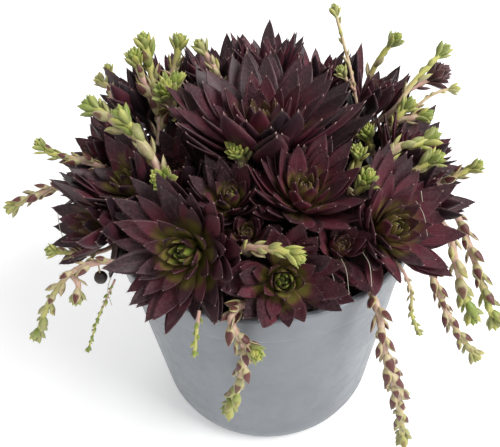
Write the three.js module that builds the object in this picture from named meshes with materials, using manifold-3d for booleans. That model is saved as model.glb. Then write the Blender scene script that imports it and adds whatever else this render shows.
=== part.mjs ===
// A clump of houseleeks (Sempervivum) in a round plastic nursery pot.
// Millimetres, +Z up, origin at the centre of the pot's foot, -Y towards the viewer.
// The clump is a dome of leaf rosettes. Each rosette sits on a stem of its own that stands in
// a hole in the soil. Runners grow out from the stems, and each carries a small new rosette.
import * as THREE from 'three';
import { mergeVertices } from 'three/addons/utils/BufferGeometryUtils.js';
import Module from 'manifold-3d';

const wasm = await Module();
wasm.setup();

// ---- pot and soil ----
const rimRadius = 65;
const potHeight = 103;
const footRadius = 50.6;
const footCorner = 10;
const wallThickness = 1.7;
const floorThickness = 2.6;
const bandHeight = 15;
const bandStep = 1.2;
const lipWidth = 3.1;
const lipChamfer = 1.3;
const potSides = 32;
const drainRadius = 3.5;
const drainCircle = 30;
const drainHoles = 4;
const drainSides = 8;
const soilEdge = 93;
const soilCrown = 110;
const soilRing = 0.65;
const holeDepth = 9;
const gap = 0.3;

// ---- rosettes ----
// The heart is the point under the clump that the stems fan out from. Flat planes through it
// part the rosettes, so that each keeps to a cell of its own.
const heart = new THREE.Vector3(0, 4, 33);
const goldenAngle = THREE.MathUtils.degToRad(137.508);
const cellMargin = 0.3;
const rimMargin = 3;
const rimFall = 1.7;
const leafRings = [0.62];
const widestAt = 0.62;
const leafCup = 0.22;
const leafSlimness = 0.3;
const innerShorter = 0.6;
const innerNarrower = 0.42;
const outerCurl = 30;
const innerCurl = 12;
const risePower = 1.2;
const leafEdge = 0.6;
const leafFlesh = 0.028;
const rootSpread = 0.12;
const rootClimb = 0.17;
const turnChance = 0.2;
const riseChance = 5;
const leastLength = 0.9;
const lengthChance = 0.16;
const steepest = 84;
const outerShare = 0.72;
const heartLeaves = 4;
// The head's corners, as shares of the leaf length: a leaf's and, between leaves, a notch's.
const headFoot = -0.08;
const headTip = 0.44;
const headTiers = [
  { out: 0.1, up: headFoot, notchOut: 0.1, notchUp: headFoot },
  { out: 0.19, up: 0.06, notchOut: 0.19, notchUp: 0.06 },
  { out: 0.25, up: 0.42, notchOut: 0.15, notchUp: 0.2 },
  { out: 0.1, up: 0.36, notchOut: 0.13, notchUp: 0.52 },
];
const lifts = [0, 8, 16, 26, 38];
const swings = [0, 9, -9, 18, -18];
const trims = [1, 0.86, 0.72, 0.58, 0.46];
const stemSides = 6;
const stemLeast = 1.2;
const stemGrowth = 0.075;

// ---- runners ----
const runnerRadius = 1.2;
const stationLength = 9;
const rootDrop = 4;
const rootStraight = 2;
const scaleSpacing = 8.6;
const scaleOut = 3;
const scaleForward = 2.4;
const scaleLead = 0.35;
const notchLead = 0.45;
const branchBare = 0.25;
const budReach = 4;
const budLength = 8;
const budTiers = 2;
const budOverlap = 0.7;
const budTierRoom = 0.62;
const budNotch = 0.3;
const budTaper = 0.35;
const budForward = 0.42;
const notchForward = 0.2;
const budTip = 0.6;
const stalkRadius = 0.6;
const stalkSides = 4;
const axisProbes = 40;

// base: where the leaves start; axis: where the rosette faces; weight: how much room it takes
// from its neighbours; leaf: length of its longest leaf; low and high: how steeply, in degrees,
// its outermost and innermost leaf stand up.
const rosettes = [
  { name: 'rosette_top', base: [1, 8, 127], axis: [0, -0.06, 1],
    weight: 38, leaf: 45, count: 36, low: 15, high: 78 },
  { name: 'rosette_front_left', base: [-26, -39, 115], axis: [-0.32, -0.72, 0.58],
    weight: 27, leaf: 33, count: 36, low: -6, high: 76 },
  { name: 'rosette_middle', base: [15, -21, 121], axis: [0.1, -0.25, 1],
    weight: 29, leaf: 30, count: 28, low: 16, high: 80 },
  { name: 'rosette_ball', base: [-12, -22, 122], axis: [-0.05, -0.3, 1],
    weight: 24, leaf: 21, count: 20, low: 30, high: 84 },
  { name: 'rosette_front', base: [6, -48, 108], axis: [0.05, -0.72, 0.62],
    weight: 22, leaf: 28, count: 26, low: -4, high: 76 },
  { name: 'rosette_right', base: [45, -27, 111], axis: [0.42, -0.55, 0.7],
    weight: 26, leaf: 33, count: 30, low: -4, high: 76 },
  { name: 'rosette_left_inner', base: [-50, -7, 119], axis: [-0.4, -0.25, 0.85],
    weight: 23, leaf: 30, count: 22, low: 6, high: 76 },
  { name: 'rosette_left', base: [-64, 20, 115], axis: [-0.7, -0.05, 0.65],
    weight: 21, leaf: 30, count: 22, low: 2, high: 76 },
  { name: 'rosette_back_left', base: [-51, 40, 125], axis: [-0.4, 0.2, 0.85],
    weight: 22, leaf: 31, count: 22, low: 8, high: 76 },
  { name: 'rosette_back_left_small', base: [-34, 51, 130], axis: [-0.2, 0.3, 0.9],
    weight: 19, leaf: 27, count: 16, low: 10, high: 78 },
  { name: 'rosette_back_right', base: [48, 41, 124], axis: [0.35, 0.2, 0.9],
    weight: 21, leaf: 29, count: 20, low: 8, high: 76 },
  { name: 'rosette_right_far', base: [59, 12, 115], axis: [0.5, -0.05, 0.8],
    weight: 22, leaf: 30, count: 20, low: 4, high: 76 },
  { name: 'rosette_right_low', base: [63, -9, 111], axis: [0.85, -0.3, 0.5],
    weight: 19, leaf: 25, count: 14, low: 6, high: 72 },
  { name: 'rosette_small_right', base: [27, -39, 113], axis: [0.2, -0.5, 0.8],
    weight: 19, leaf: 20, count: 14, low: 10, high: 74 },
  { name: 'rosette_small_middle', base: [-6, -36, 118], axis: [-0.05, -0.45, 0.85],
    weight: 19, leaf: 19, count: 14, low: 16, high: 76 },
  { name: 'rosette_sky_left', base: [-18, 51, 132], axis: [-0.1, 0.2, 0.95],
    weight: 20, leaf: 27, count: 20, low: 8, high: 80 },
  { name: 'rosette_sky_middle', base: [4, 54, 134], axis: [0.02, 0.2, 0.95],
    weight: 21, leaf: 28, count: 22, low: 8, high: 80 },
  { name: 'rosette_sky_right', base: [26, 50, 129], axis: [0.15, 0.2, 0.95],
    weight: 20, leaf: 26, count: 18, low: 8, high: 80 },
  { name: 'rosette_rear_left', base: [-41, 55, 117], axis: [-0.45, 0.75, 0.5],
    weight: 22, leaf: 26, count: 12, low: 4, high: 72 },
  { name: 'rosette_rear', base: [-6, 66, 118], axis: [-0.1, 0.85, 0.5],
    weight: 23, leaf: 26, count: 13, low: 4, high: 72 },
  { name: 'rosette_rear_right', base: [30, 60, 117], axis: [0.3, 0.8, 0.5],
    weight: 22, leaf: 26, count: 12, low: 4, high: 72 },
  { name: 'rosette_rear_far_right', base: [58, 33, 116], axis: [0.75, 0.4, 0.5],
    weight: 20, leaf: 24, count: 12, low: 4, high: 72 },
  { name: 'rosette_left_low', base: [-60, -19, 111], axis: [-0.75, -0.45, 0.5],
    weight: 22, leaf: 32, count: 20, low: 0, high: 74 },
  { name: 'rosette_mid_left', base: [-31, -3, 119], axis: [-0.3, -0.3, 1],
    weight: 18, leaf: 24, count: 16, low: 10, high: 78 },
  { name: 'rosette_gap_left', base: [-35, 20, 117], axis: [-0.1, 0, 1],
    weight: 18, leaf: 21, count: 14, low: 10, high: 78 },
];

// Each runner leaves its mother's stem and follows its path out to the young rosette at its
// end. bare: the share of the path without scale leaves. A branch starts at the share `from`.
const runners = [
  { name: 'runner_tall_back_left', mother: 'rosette_left_inner', bare: 0.35,
    path: [[-43, 22, 132], [-45.5, 36, 147.5], [-48.5, 44, 164]],
    branches: [{ from: 0.5, path: [[-50, 36, 148.5], [-52.5, 38, 159.5]] }] },
  { name: 'runner_small_far_left', mother: 'rosette_back_left', bare: 0.5,
    path: [[-65, 53.5, 134.5], [-70, 60, 142.5]] },
  { name: 'runner_brown_far_left', mother: 'rosette_back_left', bare: 0.4,
    path: [[-64, 38, 136], [-67, 44, 139.5], [-72.5, 49, 142]] },
  { name: 'runner_thick_left', mother: 'rosette_left_inner', bare: 0.3,
    path: [[-38, -18, 132], [-42.5, -12, 141.5], [-49.5, -4, 147.5], [-55, 2, 152]],
    branches: [
      { from: 0.72, path: [[-60.5, 8, 146], [-70.5, 16, 148.5]] },
      { from: 0.33, path: [[-37, -23, 136], [-38.5, -27, 141]] },
    ] },
  { name: 'runner_cluster_left', mother: 'rosette_back_left_small', bare: 0.4,
    path: [[-37, 26, 137], [-37, 28, 146], [-33, 31, 151]],
    branches: [{ from: 0.6, path: [[-38.5, 22, 147], [-38, 22, 153]] }] },
  { name: 'runner_skyline_left', mother: 'rosette_sky_left', bare: 0.3,
    path: [[-39, 46, 140.5], [-36, 50, 150], [-34, 55, 158]] },
  { name: 'runner_beads', mother: 'rosette_sky_left', bare: 0.3,
    path: [[-16, 38, 143], [-20, 40, 152], [-25.5, 44, 160]] },
  { name: 'runner_high_left', mother: 'rosette_left', bare: 0.3,
    path: [[-68.5, 4, 126], [-77.5, 5, 129], [-86.5, 6, 131], [-92, 7, 136]] },
  { name: 'runner_low_left', mother: 'rosette_left_low', bare: 0.25,
    path: [[-74, -5, 118], [-83, -4, 121], [-94.5, -5, 118], [-106.5, -6, 112]] },
  { name: 'runner_side_left', mother: 'rosette_left_low', bare: 0.3,
    path: [[-68, -28.5, 106], [-76, -31, 108.5], [-84.5, -32, 111.5]] },
  { name: 'runner_hanging_left', mother: 'rosette_front_left', bare: 0.3,
    path: [[-50, -43, 113], [-61, -44, 115.5], [-72.5, -44, 111], [-84, -44, 96.5], [-96, -42, 72]],
    branches: [{ from: 0.52, path: [[-71, -46, 107], [-73, -48, 99]] }],
    ball: { from: 0.38, centre: [-62.5, -44, 107.5], radius: 2.6 } },
  { name: 'runner_hanging_front', mother: 'rosette_front', bare: 0.18,
    path: [[-12.5, -67, 108], [-8.5, -70, 95.5], [-11, -69, 73], [-16.5, -66, 51]],
    branches: [{ from: 0.42, path: [[-6, -73, 99], [-3.5, -77, 99]] }] },
  { name: 'runner_hanging_right', mother: 'rosette_right', bare: 0.22,
    path: [[39, -50, 105], [41, -60, 102], [45, -66, 81], [52, -66, 55.5], [57.5, -64, 24]],
    branches: [{ from: 0.45, path: [[49, -59, 70], [55, -57, 46]] }] },
  { name: 'runner_thin_right', mother: 'rosette_right', bare: 0.4,
    path: [[51, -41, 107], [56, -46, 98], [57, -49, 87], [61, -50, 77]] },
  { name: 'runner_lower_right', mother: 'rosette_right', bare: 0.3,
    path: [[58, -27, 107], [67, -31, 93], [74, -37, 77], [82, -39, 62], [91, -40, 48]] },
  { name: 'runner_middle_right', mother: 'rosette_right_low', bare: 0.3,
    path: [[74, -18, 105], [79, -26, 91], [84, -29, 76], [90, -30, 62]] },
  { name: 'runner_outer_right', mother: 'rosette_right_low', bare: 0.25,
    path: [[79, -6, 104], [90, -16, 84], [96, -24, 68], [102, -26, 54]] },
  { name: 'runner_short_right', mother: 'rosette_right_far', bare: 0.4,
    path: [[70, 33, 132], [79, 37, 136], [87.5, 40, 135.5]] },
  { name: 'runner_long_right', mother: 'rosette_back_right', bare: 0.3,
    path: [[58.5, 30, 132], [66, 36, 140], [75, 42, 147], [82, 47, 152]] },
  { name: 'runner_skyline_right', mother: 'rosette_back_right', bare: 0.3,
    path: [[51, 55, 134], [56, 57, 144], [63, 58, 153]] },
  { name: 'runner_tallest', mother: 'rosette_back_right', bare: 0.35,
    path: [[42, 27, 136], [39, 34, 150], [35.5, 42, 162], [32.5, 48, 172]],
    branches: [{ from: 0.4, path: [[37, 28, 148], [34, 29, 153.5]] }] },
  { name: 'runner_green_head', mother: 'rosette_right_far', bare: 0.5,
    path: [[46, 8, 127], [43, 9, 137]] },
  { name: 'runner_yellow_head', mother: 'rosette_middle', bare: 0.5,
    path: [[38, -8, 129], [37.5, -8, 138]] },
  { name: 'runner_yellow_arm', mother: 'rosette_right', bare: 0.45,
    path: [[49, -5, 128], [54.5, -2, 134], [63, 0, 134], [70.5, 4, 136]] },
  { name: 'runner_fork', mother: 'rosette_right_far', bare: 0.4,
    path: [[56, 22, 128], [59.5, 22, 134], [65, 26, 138]],
    branches: [{ from: 0.65, path: [[66, 20, 134], [72, 22, 134]] }] },
  { name: 'runner_pink_arm', mother: 'rosette_right', bare: 0.4,
    path: [[35.5, -22, 125.5], [38, -24, 132], [40.5, -24, 137.5]] },
  { name: 'runner_arm_right', mother: 'rosette_right_low', bare: 0.4,
    path: [[58, -8, 123], [64.5, -8, 129], [71, -6, 132]] },
  { name: 'runner_reach_right', mother: 'rosette_right_low', bare: 0.4,
    path: [[73, -4, 117], [81, -4, 121], [89, -3, 125]] },
  { name: 'runner_over_front', mother: 'rosette_small_middle', bare: 0.35,
    path: [[-7, -49, 125], [-0.5, -53.5, 128.5], [5.5, -56, 129.5], [13, -59, 128]] },
  { name: 'runner_top_bud', mother: 'rosette_ball', bare: 0.5,
    path: [[-7, -10, 134], [-10, -14, 144]] },
  { name: 'runner_dark_offset', mother: 'rosette_back_right', bare: 0.45,
    path: [[63, 42, 132], [76, 46, 137], [83, 48, 141]], bud: { reach: 7.5, length: 12, tiers: 5 } },
  { name: 'runner_rear', mother: 'rosette_rear', bare: 0.3,
    path: [[8, 84, 116], [14, 92, 104], [16, 94, 88]] },
  { name: 'runner_rear_left', mother: 'rosette_rear_left', bare: 0.3,
    path: [[-58, 70, 116], [-68, 76, 108], [-72, 78, 96]] },
];

const vector = (list) => new THREE.Vector3(...list);
const radians = THREE.MathUtils.degToRad;
const blend = THREE.MathUtils.lerp;

// A repeatable draw between 0 and 1 for each whole number.
function draw(number) {
  const wave = Math.sin(number * 12.9898 + 78.233) * 43758.5453;
  return wave - Math.floor(wave);
}

// ---- solids ----
function solidOf(geometry) {
  const bare = geometry.clone();
  bare.deleteAttribute('normal');
  bare.deleteAttribute('uv');
  const welded = mergeVertices(bare, 1e-4);
  return new wasm.Manifold(new wasm.Mesh({
    numProp: 3,
    vertProperties: new Float32Array(welded.attributes.position.array),
    triVerts: new Uint32Array(welded.index.array),
  }));
}

function pointsSolid(points, faces) {
  const geometry = new THREE.BufferGeometry().setFromPoints(points);
  geometry.setIndex(faces.flat());
  return solidOf(geometry);
}

const joined = (solids) => solids.reduce((whole, solid) => whole.add(solid));

function meshOf(name, solid, look) {
  const result = solid.getMesh();
  const geometry = new THREE.BufferGeometry();
  geometry.setAttribute('position', new THREE.BufferAttribute(result.vertProperties, 3));
  geometry.setIndex(new THREE.BufferAttribute(result.triVerts, 1));
  const mesh = new THREE.Mesh(geometry, new THREE.MeshStandardMaterial(look));
  mesh.name = name;
  return mesh;
}

// A prism from one point to another, with its sides turned the same way for the same line.
function prism(from, to, radius, sides) {
  const line = to.clone().sub(from);
  const geometry = new THREE.CylinderGeometry(radius, radius, line.length(), sides);
  const upright = new THREE.Vector3(0, 1, 0);
  geometry.applyQuaternion(new THREE.Quaternion().setFromUnitVectors(upright, line.clone().normalize()));
  const middle = from.clone().add(to).multiplyScalar(0.5);
  geometry.translate(middle.x, middle.y, middle.z);
  return solidOf(geometry);
}

// A turned solid about +Z from [radius, height] pairs.
function turned(profile, sides) {
  const geometry = new THREE.LatheGeometry(profile.map(([r, z]) => new THREE.Vector2(r, z)), sides);
  geometry.rotateX(Math.PI / 2);
  return solidOf(geometry);
}

// ---- pot ----
function wallRadius(height) {
  const share = (height - footCorner) / (potHeight - footCorner);
  return blend(footRadius, rimRadius - bandStep, share);
}

function potSolid() {
  const flat = footRadius - footCorner;
  const bandFoot = potHeight - bandHeight;
  const bandRadius = wallRadius(bandFoot) + bandStep;
  const cornerBend = footCorner * (1 - Math.SQRT1_2);
  const lipFoot = potHeight - lipChamfer;
  const profile = [
    [0, 0],
    [flat, 0],
    [footRadius - cornerBend, cornerBend],
    [footRadius, footCorner],
    [wallRadius(bandFoot), bandFoot],
    [bandRadius, bandFoot + bandStep],
    [rimRadius, lipFoot],
    [rimRadius - lipChamfer / 2, potHeight],
    [rimRadius - lipWidth + lipChamfer / 2, potHeight],
    [rimRadius - lipWidth, lipFoot],
    [wallRadius(bandFoot) - wallThickness, bandFoot],
    [footRadius - wallThickness, footCorner],
    [flat, floorThickness],
    [0, floorThickness],
  ];
  let pot = turned(profile, potSides);
  for (let hole = 0; hole < drainHoles; hole += 1) {
    const angle = (hole + 0.5) * 2 * Math.PI / drainHoles;
    const x = drainCircle * Math.cos(angle);
    const y = drainCircle * Math.sin(angle);
    const below = new THREE.Vector3(x, y, -1);
    const above = new THREE.Vector3(x, y, floorThickness + 1);
    pot = pot.subtract(prism(below, above, drainRadius, drainSides));
  }
  return pot;
}

// ---- soil ----
function soilTop(radius) {
  return blend(soilCrown, soilEdge, Math.min(1, radius / (rimRadius - lipWidth)) ** 2);
}

function soilSolid() {
  const bandFoot = potHeight - bandHeight;
  const edge = wallRadius(bandFoot) - wallThickness - gap;
  let soil = turned([
    [0, floorThickness + gap],
    [footRadius - footCorner - gap, floorThickness + gap],
    [footRadius - wallThickness - gap, footCorner],
    [edge, bandFoot],
    [edge, soilTop(edge)],
    [soilRing * edge, soilTop(soilRing * edge)],
    [0, soilCrown],
  ], potSides);
  for (const rosette of rosettes) {
    const radius = rosette.stemRadius + gap / Math.cos(Math.PI / stemSides);
    const bottom = rosette.stemFoot.clone().addScaledVector(rosette.ray, -gap);
    soil = soil.subtract(prism(bottom, rosette.base, radius, stemSides));
  }
  return soil;
}

// ---- rosette frames and cells ----
function prepareRosette(rosette, index) {
  rosette.base = vector(rosette.base);
  rosette.axis = vector(rosette.axis).normalize();
  rosette.across = new THREE.Vector3(1, 0, 0).addScaledVector(rosette.axis, -rosette.axis.x).normalize();
  rosette.along = rosette.axis.clone().cross(rosette.across);
  rosette.ray = rosette.base.clone().sub(heart).normalize();
  rosette.stemRadius = stemLeast + stemGrowth * rosette.leaf;
  rosette.seed = 100 * index + 7;
  rosette.spin = 2 * Math.PI * draw(rosette.seed);
  const footHeight = soilTop(Math.hypot(rosette.base.x, rosette.base.y)) - holeDepth;
  rosette.stemFoot = heart.clone().addScaledVector(rosette.ray, (footHeight - heart.z) / rosette.ray.z);
  const middle = rosette.base.clone().addScaledVector(rosette.axis, 0.3 * rosette.leaf).sub(heart);
  const width = Math.atan(rosette.weight / middle.length());
  rosette.weighted = middle.normalize().divideScalar(Math.cos(width));
}

rosettes.forEach(prepareRosette);

function cellPlanes(rosette) {
  return rosettes
    .filter((other) => other !== rosette)
    .map((other) => rosette.weighted.clone().sub(other.weighted).normalize());
}

// ---- leaves ----
function widthAt(share) {
  if (share < widestAt) {
    const q = share / widestAt;
    return 0.5 + 0.5 * q * q * (3 - 2 * q);
  }
  const q = (share - widestAt) / (1 - widestAt);
  return Math.pow(1 - q, 0.62) * (1 + 0.45 * q);
}

const thicknessAt = (share) => 1 - 0.7 * share * share * share;

function leafOf(rosette, order) {
  const share = order / (rosette.count - 1);
  const seed = rosette.seed + 3 * order;
  const size = rosette.leaf;
  const steepness = blend(rosette.low, rosette.high, share ** risePower);
  return {
    turn: rosette.spin + order * goldenAngle + turnChance * (draw(seed + 1) - 0.5),
    rise: radians(steepness + riseChance * (draw(seed + 2) - 0.5)),
    curl: radians(blend(outerCurl, innerCurl, share)),
    length: size * (1 - innerShorter * share) * (leastLength + lengthChance * draw(seed + 3)),
    width: leafSlimness * size * (1 - innerNarrower * share),
    thickness: leafEdge + leafFlesh * size,
    rootOut: rootSpread * size,
    rootUp: rootClimb * size * share,
  };
}

// The leaf's middle line is an arc that starts at its rise and ends at rise plus curl.
function leafStation(rosette, leaf, share) {
  const angle = leaf.rise + leaf.curl * share;
  const out = leaf.rootOut + leaf.length * (Math.sin(angle) - Math.sin(leaf.rise)) / leaf.curl;
  const up = leaf.rootUp + leaf.length * (Math.cos(leaf.rise) - Math.cos(angle)) / leaf.curl;
  const radial = rosette.across.clone().multiplyScalar(Math.cos(leaf.turn))
    .addScaledVector(rosette.along, Math.sin(leaf.turn));
  const side = rosette.axis.clone().cross(radial);
  const face = rosette.axis.clone().multiplyScalar(Math.cos(angle)).addScaledVector(radial, -Math.sin(angle));
  const middle = rosette.base.clone().addScaledVector(radial, out).addScaledVector(rosette.axis, up);
  return { middle, side, face };
}

function leafSection(rosette, leaf, share) {
  const { middle, side, face } = leafStation(rosette, leaf, share);
  const half = 0.5 * leaf.width * widthAt(share);
  const edges = middle.clone().addScaledVector(face, leafCup * half);
  return [
    edges.clone().addScaledVector(side, half),
    edges.clone().addScaledVector(side, -half),
    middle.clone().addScaledVector(face, -leaf.thickness * thicknessAt(share)),
  ];
}

const leafTip = (rosette, leaf) => leafStation(rosette, leaf, 1).middle;

// Lowest height that a leaf may have over the soil, over the rim and outside the pot.
function floorAt(radius) {
  if (radius < rimRadius - lipWidth - rimMargin) {
    return soilTop(radius) + rimMargin;
  }
  return potHeight + rimMargin - rimFall * Math.max(0, radius - rimRadius - rimMargin);
}

// A leaf stays in its cell and off the pot with its tip, its sections and halfway to them.
function insideCell(rosette, leaf) {
  const root = leafStation(rosette, leaf, 0).middle;
  const sections = leafRings.flatMap((share) => leafSection(rosette, leaf, share));
  const halfway = sections.map((corner) => corner.clone().lerp(root, 0.5));
  return [leafTip(rosette, leaf), ...sections, ...halfway].every((point) => {
    const fromHeart = point.clone().sub(heart);
    return rosette.planes.every((plane) => plane.dot(fromHeart) > cellMargin)
      && point.z > floorAt(Math.hypot(point.x, point.y));
  });
}

// Distance from a leaf to a point, taken across the middle line and past the leaf's edge.
function leafDistance(stations, leaf, point) {
  let nearest = Infinity;
  for (const { share, middle, side, face } of stations) {
    const offset = point.clone().sub(middle);
    const sideways = Math.max(0, Math.abs(offset.dot(side)) - 0.5 * leaf.width * widthAt(share));
    const flat = offset.addScaledVector(side, -offset.dot(side)).length();
    nearest = Math.min(nearest, Math.hypot(sideways, flat));
  }
  return nearest;
}

const probeShares = [0.15, 0.3, 0.45, 0.6, 0.75, 0.88, 1];

function clearOfRunners(rosette, leaf) {
  const stations = probeShares.map((share) => ({ share, ...leafStation(rosette, leaf, share) }));
  return rosette.nearRunners.every(({ point, reach }) =>
    leafDistance(stations, leaf, point) > reach + leaf.thickness);
}

// A leaf that meets a neighbour stands up more steeply or turns aside, then gets shorter, until
// it is clear.
function settledLeaf(rosette, order) {
  const wanted = leafOf(rosette, order);
  const top = Math.max(wanted.rise, radians(steepest) - wanted.curl / 2);
  for (const trim of trims) {
    for (const lift of lifts) {
      for (const swing of swings) {
        const leaf = {
          ...wanted,
          rise: Math.min(wanted.rise + radians(lift), top),
          turn: wanted.turn + radians(swing),
          length: wanted.length * trim,
        };
        if (insideCell(rosette, leaf) && clearOfRunners(rosette, leaf)) {
          return leaf;
        }
      }
    }
  }
  return null;
}

// A leaf tapers from a root point inside the head, over its sections, to its tip.
function leafSolid(rosette, leaf) {
  const points = [
    leafStation(rosette, leaf, 0).middle,
    ...leafRings.flatMap((share) => leafSection(rosette, leaf, share)),
    leafTip(rosette, leaf),
  ];
  const tip = points.length - 1;
  const faces = [];
  for (let corner = 0; corner < 3; corner += 1) {
    const next = (corner + 1) % 3;
    faces.push([0, 1 + next, 1 + corner]);
    for (let ring = 1; ring < leafRings.length; ring += 1) {
      const near = 3 * ring - 2;
      const far = 3 * ring + 1;
      faces.push([near + corner, far + next, far + corner], [near + corner, near + next, far + next]);
    }
    faces.push([tip - 3 + corner, tip - 3 + next, tip]);
  }
  return pointsSolid(points, faces);
}

// The head that the leaves grow from. Its top is the closed middle of the rosette: two tiers of
// upright pointed leaves round the tip, in one skin.
function headSolid(rosette) {
  const size = rosette.leaf;
  const around = 2 * heartLeaves;
  const place = (out, up, angle) => rosette.base.clone()
    .addScaledVector(rosette.across, size * out * Math.cos(angle))
    .addScaledVector(rosette.along, size * out * Math.sin(angle))
    .addScaledVector(rosette.axis, size * up);
  const points = [place(0, headFoot, 0)];
  const faces = [];
  headTiers.forEach(({ out, up, notchOut, notchUp }, tier) => {
    for (let corner = 0; corner < around; corner += 1) {
      const angle = rosette.spin + Math.PI * corner / heartLeaves;
      points.push(corner % 2 === 0 ? place(out, up, angle) : place(notchOut, notchUp, angle));
      const a = 1 + around * tier + corner;
      const b = 1 + around * tier + (corner + 1) % around;
      if (tier < headTiers.length - 1) {
        faces.push([a, b, b + around], [a, b + around, a + around]);
      }
    }
  });
  points.push(place(0, headTip, 0));
  const top = points.length - 1;
  for (let corner = 0; corner < around; corner += 1) {
    const next = (corner + 1) % around;
    faces.push([0, 1 + next, 1 + corner], [top, top - around + corner, top - around + next]);
  }
  return pointsSolid(points, faces);
}

function rosetteSolid(rosette) {
  const stem = prism(rosette.stemFoot, rosette.base, rosette.stemRadius, stemSides);
  const leaves = rosette.leaves.map((leaf) => leafSolid(rosette, leaf));
  return joined([stem, headSolid(rosette), ...leaves]);
}

// ---- runners ----
function runnerCurve(runner) {
  const mother = rosettes.find((rosette) => rosette.name === runner.mother);
  const first = vector(runner.path[0]);
  const outward = first.clone().sub(mother.base);
  outward.addScaledVector(mother.ray, -outward.dot(mother.ray)).normalize();
  const start = mother.base.clone()
    .addScaledVector(mother.ray, -rootDrop)
    .addScaledVector(outward, mother.stemRadius + gap);
  const second = start.clone().addScaledVector(outward, rootStraight);
  return new THREE.CatmullRomCurve3([start, second, ...runner.path.map(vector)]);
}

function prepareRunner(runner) {
  const main = runnerCurve(runner);
  runner.strands = [{ curve: main, bare: runner.bare }];
  for (const branch of runner.branches ?? []) {
    const points = [main.getPointAt(branch.from), ...branch.path.map(vector)];
    runner.strands.push({ curve: new THREE.CatmullRomCurve3(points), bare: branchBare });
  }
  runner.head = runner.bud ?? { reach: budReach, length: budLength, tiers: budTiers };
}

runners.forEach(prepareRunner);

// Points along every runner with the room that each needs.
function runnerRoom() {
  const room = [];
  for (const runner of runners) {
    for (const { curve, bare } of runner.strands) {
      const steps = Math.ceil(curve.getLength() / 2);
      for (let step = 0; step <= steps; step += 1) {
        const share = step / steps;
        const toEnd = (1 - share) * curve.getLength();
        const reach = share < bare ? runnerRadius + 2 * gap : scaleOut;
        room.push({
          point: curve.getPointAt(share),
          reach: toEnd < runner.head.length ? runner.head.reach : reach,
        });
      }
    }
    if (runner.ball) {
      room.push({ point: vector(runner.ball.centre), reach: runner.ball.radius + gap });
    }
  }
  return room;
}

// The axis that a curve's direction keeps farthest from. The sides of a strand are measured
// from it, so that they turn steadily along the strand.
function farAxis(curve) {
  const axes = [new THREE.Vector3(1, 0, 0), new THREE.Vector3(0, 1, 0), new THREE.Vector3(0, 0, 1)];
  const tangents = [...Array(axisProbes + 1).keys()].map((probe) => curve.getTangentAt(probe / axisProbes));
  const nearness = (axis) => Math.max(...tangents.map((tangent) => Math.abs(tangent.dot(axis))));
  return axes.reduce((best, axis) => (nearness(axis) < nearness(best) ? axis : best));
}

function outwardAt(tangent, axis, angle) {
  const across = tangent.clone().cross(axis).normalize();
  const over = tangent.clone().cross(across);
  return across.multiplyScalar(Math.cos(angle)).addScaledVector(over, Math.sin(angle));
}

// The stations of a strand: bare rings, then rings with a pair of pointed scale leaves that
// turn a quarter each time, then the bud, whose tiers of leaves stand close together.
function strandStations({ curve, bare }, head) {
  const length = curve.getLength();
  const stations = [];
  const bareSteps = Math.max(1, Math.round(length * bare / stationLength));
  for (let step = 0; step <= bareSteps; step += 1) {
    stations.push({ at: length * bare * step / bareSteps, tip: runnerRadius, forward: 0, turn: 0 });
  }
  const budStart = length - head.length * budOverlap;
  const scales = Math.max(1, Math.round((budStart - length * bare) / scaleSpacing));
  const pitch = (budStart - length * bare) / scales;
  for (let scale = 0; scale < scales; scale += 1) {
    const foot = length * bare + pitch * (scale + scaleLead);
    const turn = (scale % 2) * Math.PI / 2;
    stations.push({ at: foot, tip: scaleOut, forward: scaleForward, turn });
    stations.push({ at: foot + notchLead * pitch, tip: runnerRadius, forward: 0, turn });
  }
  for (let tier = 0; tier < head.tiers; tier += 1) {
    const share = tier / head.tiers;
    const foot = budStart + head.length * budTierRoom * share;
    const turn = ((scales + tier) % 2) * Math.PI / 2;
    const notch = foot + budNotch * head.length / head.tiers;
    const tip = head.reach * (1 - budTaper * share);
    stations.push({ at: foot, tip, forward: budForward * head.length, turn });
    stations.push({ at: notch, tip: notchLead * tip, forward: notchForward * head.length, turn });
  }
  return stations;
}

function strandSolid(strand, head) {
  const length = strand.curve.getLength();
  const axis = farAxis(strand.curve);
  const points = [];
  const faces = [[0, 2, 1], [0, 3, 2]];
  for (const { at, tip, forward, turn } of strandStations(strand, head)) {
    const share = Math.min(1, at / length);
    const tangent = strand.curve.getTangentAt(share);
    const centre = strand.curve.getPointAt(share);
    for (let corner = 0; corner < 4; corner += 1) {
      const onTip = corner % 2 === (turn > 0 ? 1 : 0);
      const outward = outwardAt(tangent, axis, corner * Math.PI / 2);
      points.push(centre.clone()
        .addScaledVector(outward, onTip ? tip : Math.min(tip, runnerRadius))
        .addScaledVector(tangent, onTip ? forward : 0));
    }
  }
  const tangent = strand.curve.getTangentAt(1);
  points.push(strand.curve.getPointAt(1).addScaledVector(tangent, budTip * head.length));
  const last = points.length - 1;
  for (let ring = 0; ring + 8 <= last; ring += 4) {
    for (let corner = 0; corner < 4; corner += 1) {
      const a = ring + corner;
      const b = ring + (corner + 1) % 4;
      faces.push([a, b, b + 4], [a, b + 4, a + 4]);
    }
  }
  for (let corner = 0; corner < 4; corner += 1) {
    faces.push([last - 4 + corner, last - 4 + (corner + 1) % 4, last]);
  }
  return pointsSolid(points, faces);
}

function runnerSolid(runner) {
  const solids = runner.strands.map((strand) => strandSolid(strand, runner.head));
  if (runner.ball) {
    const { from, centre, radius } = runner.ball;
    const berry = new THREE.IcosahedronGeometry(radius, 1);
    berry.translate(...centre);
    const stalkTop = runner.strands[0].curve.getPointAt(from);
    solids.push(prism(vector(centre), stalkTop, stalkRadius, stalkSides), solidOf(berry));
  }
  return joined(solids);
}

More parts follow.
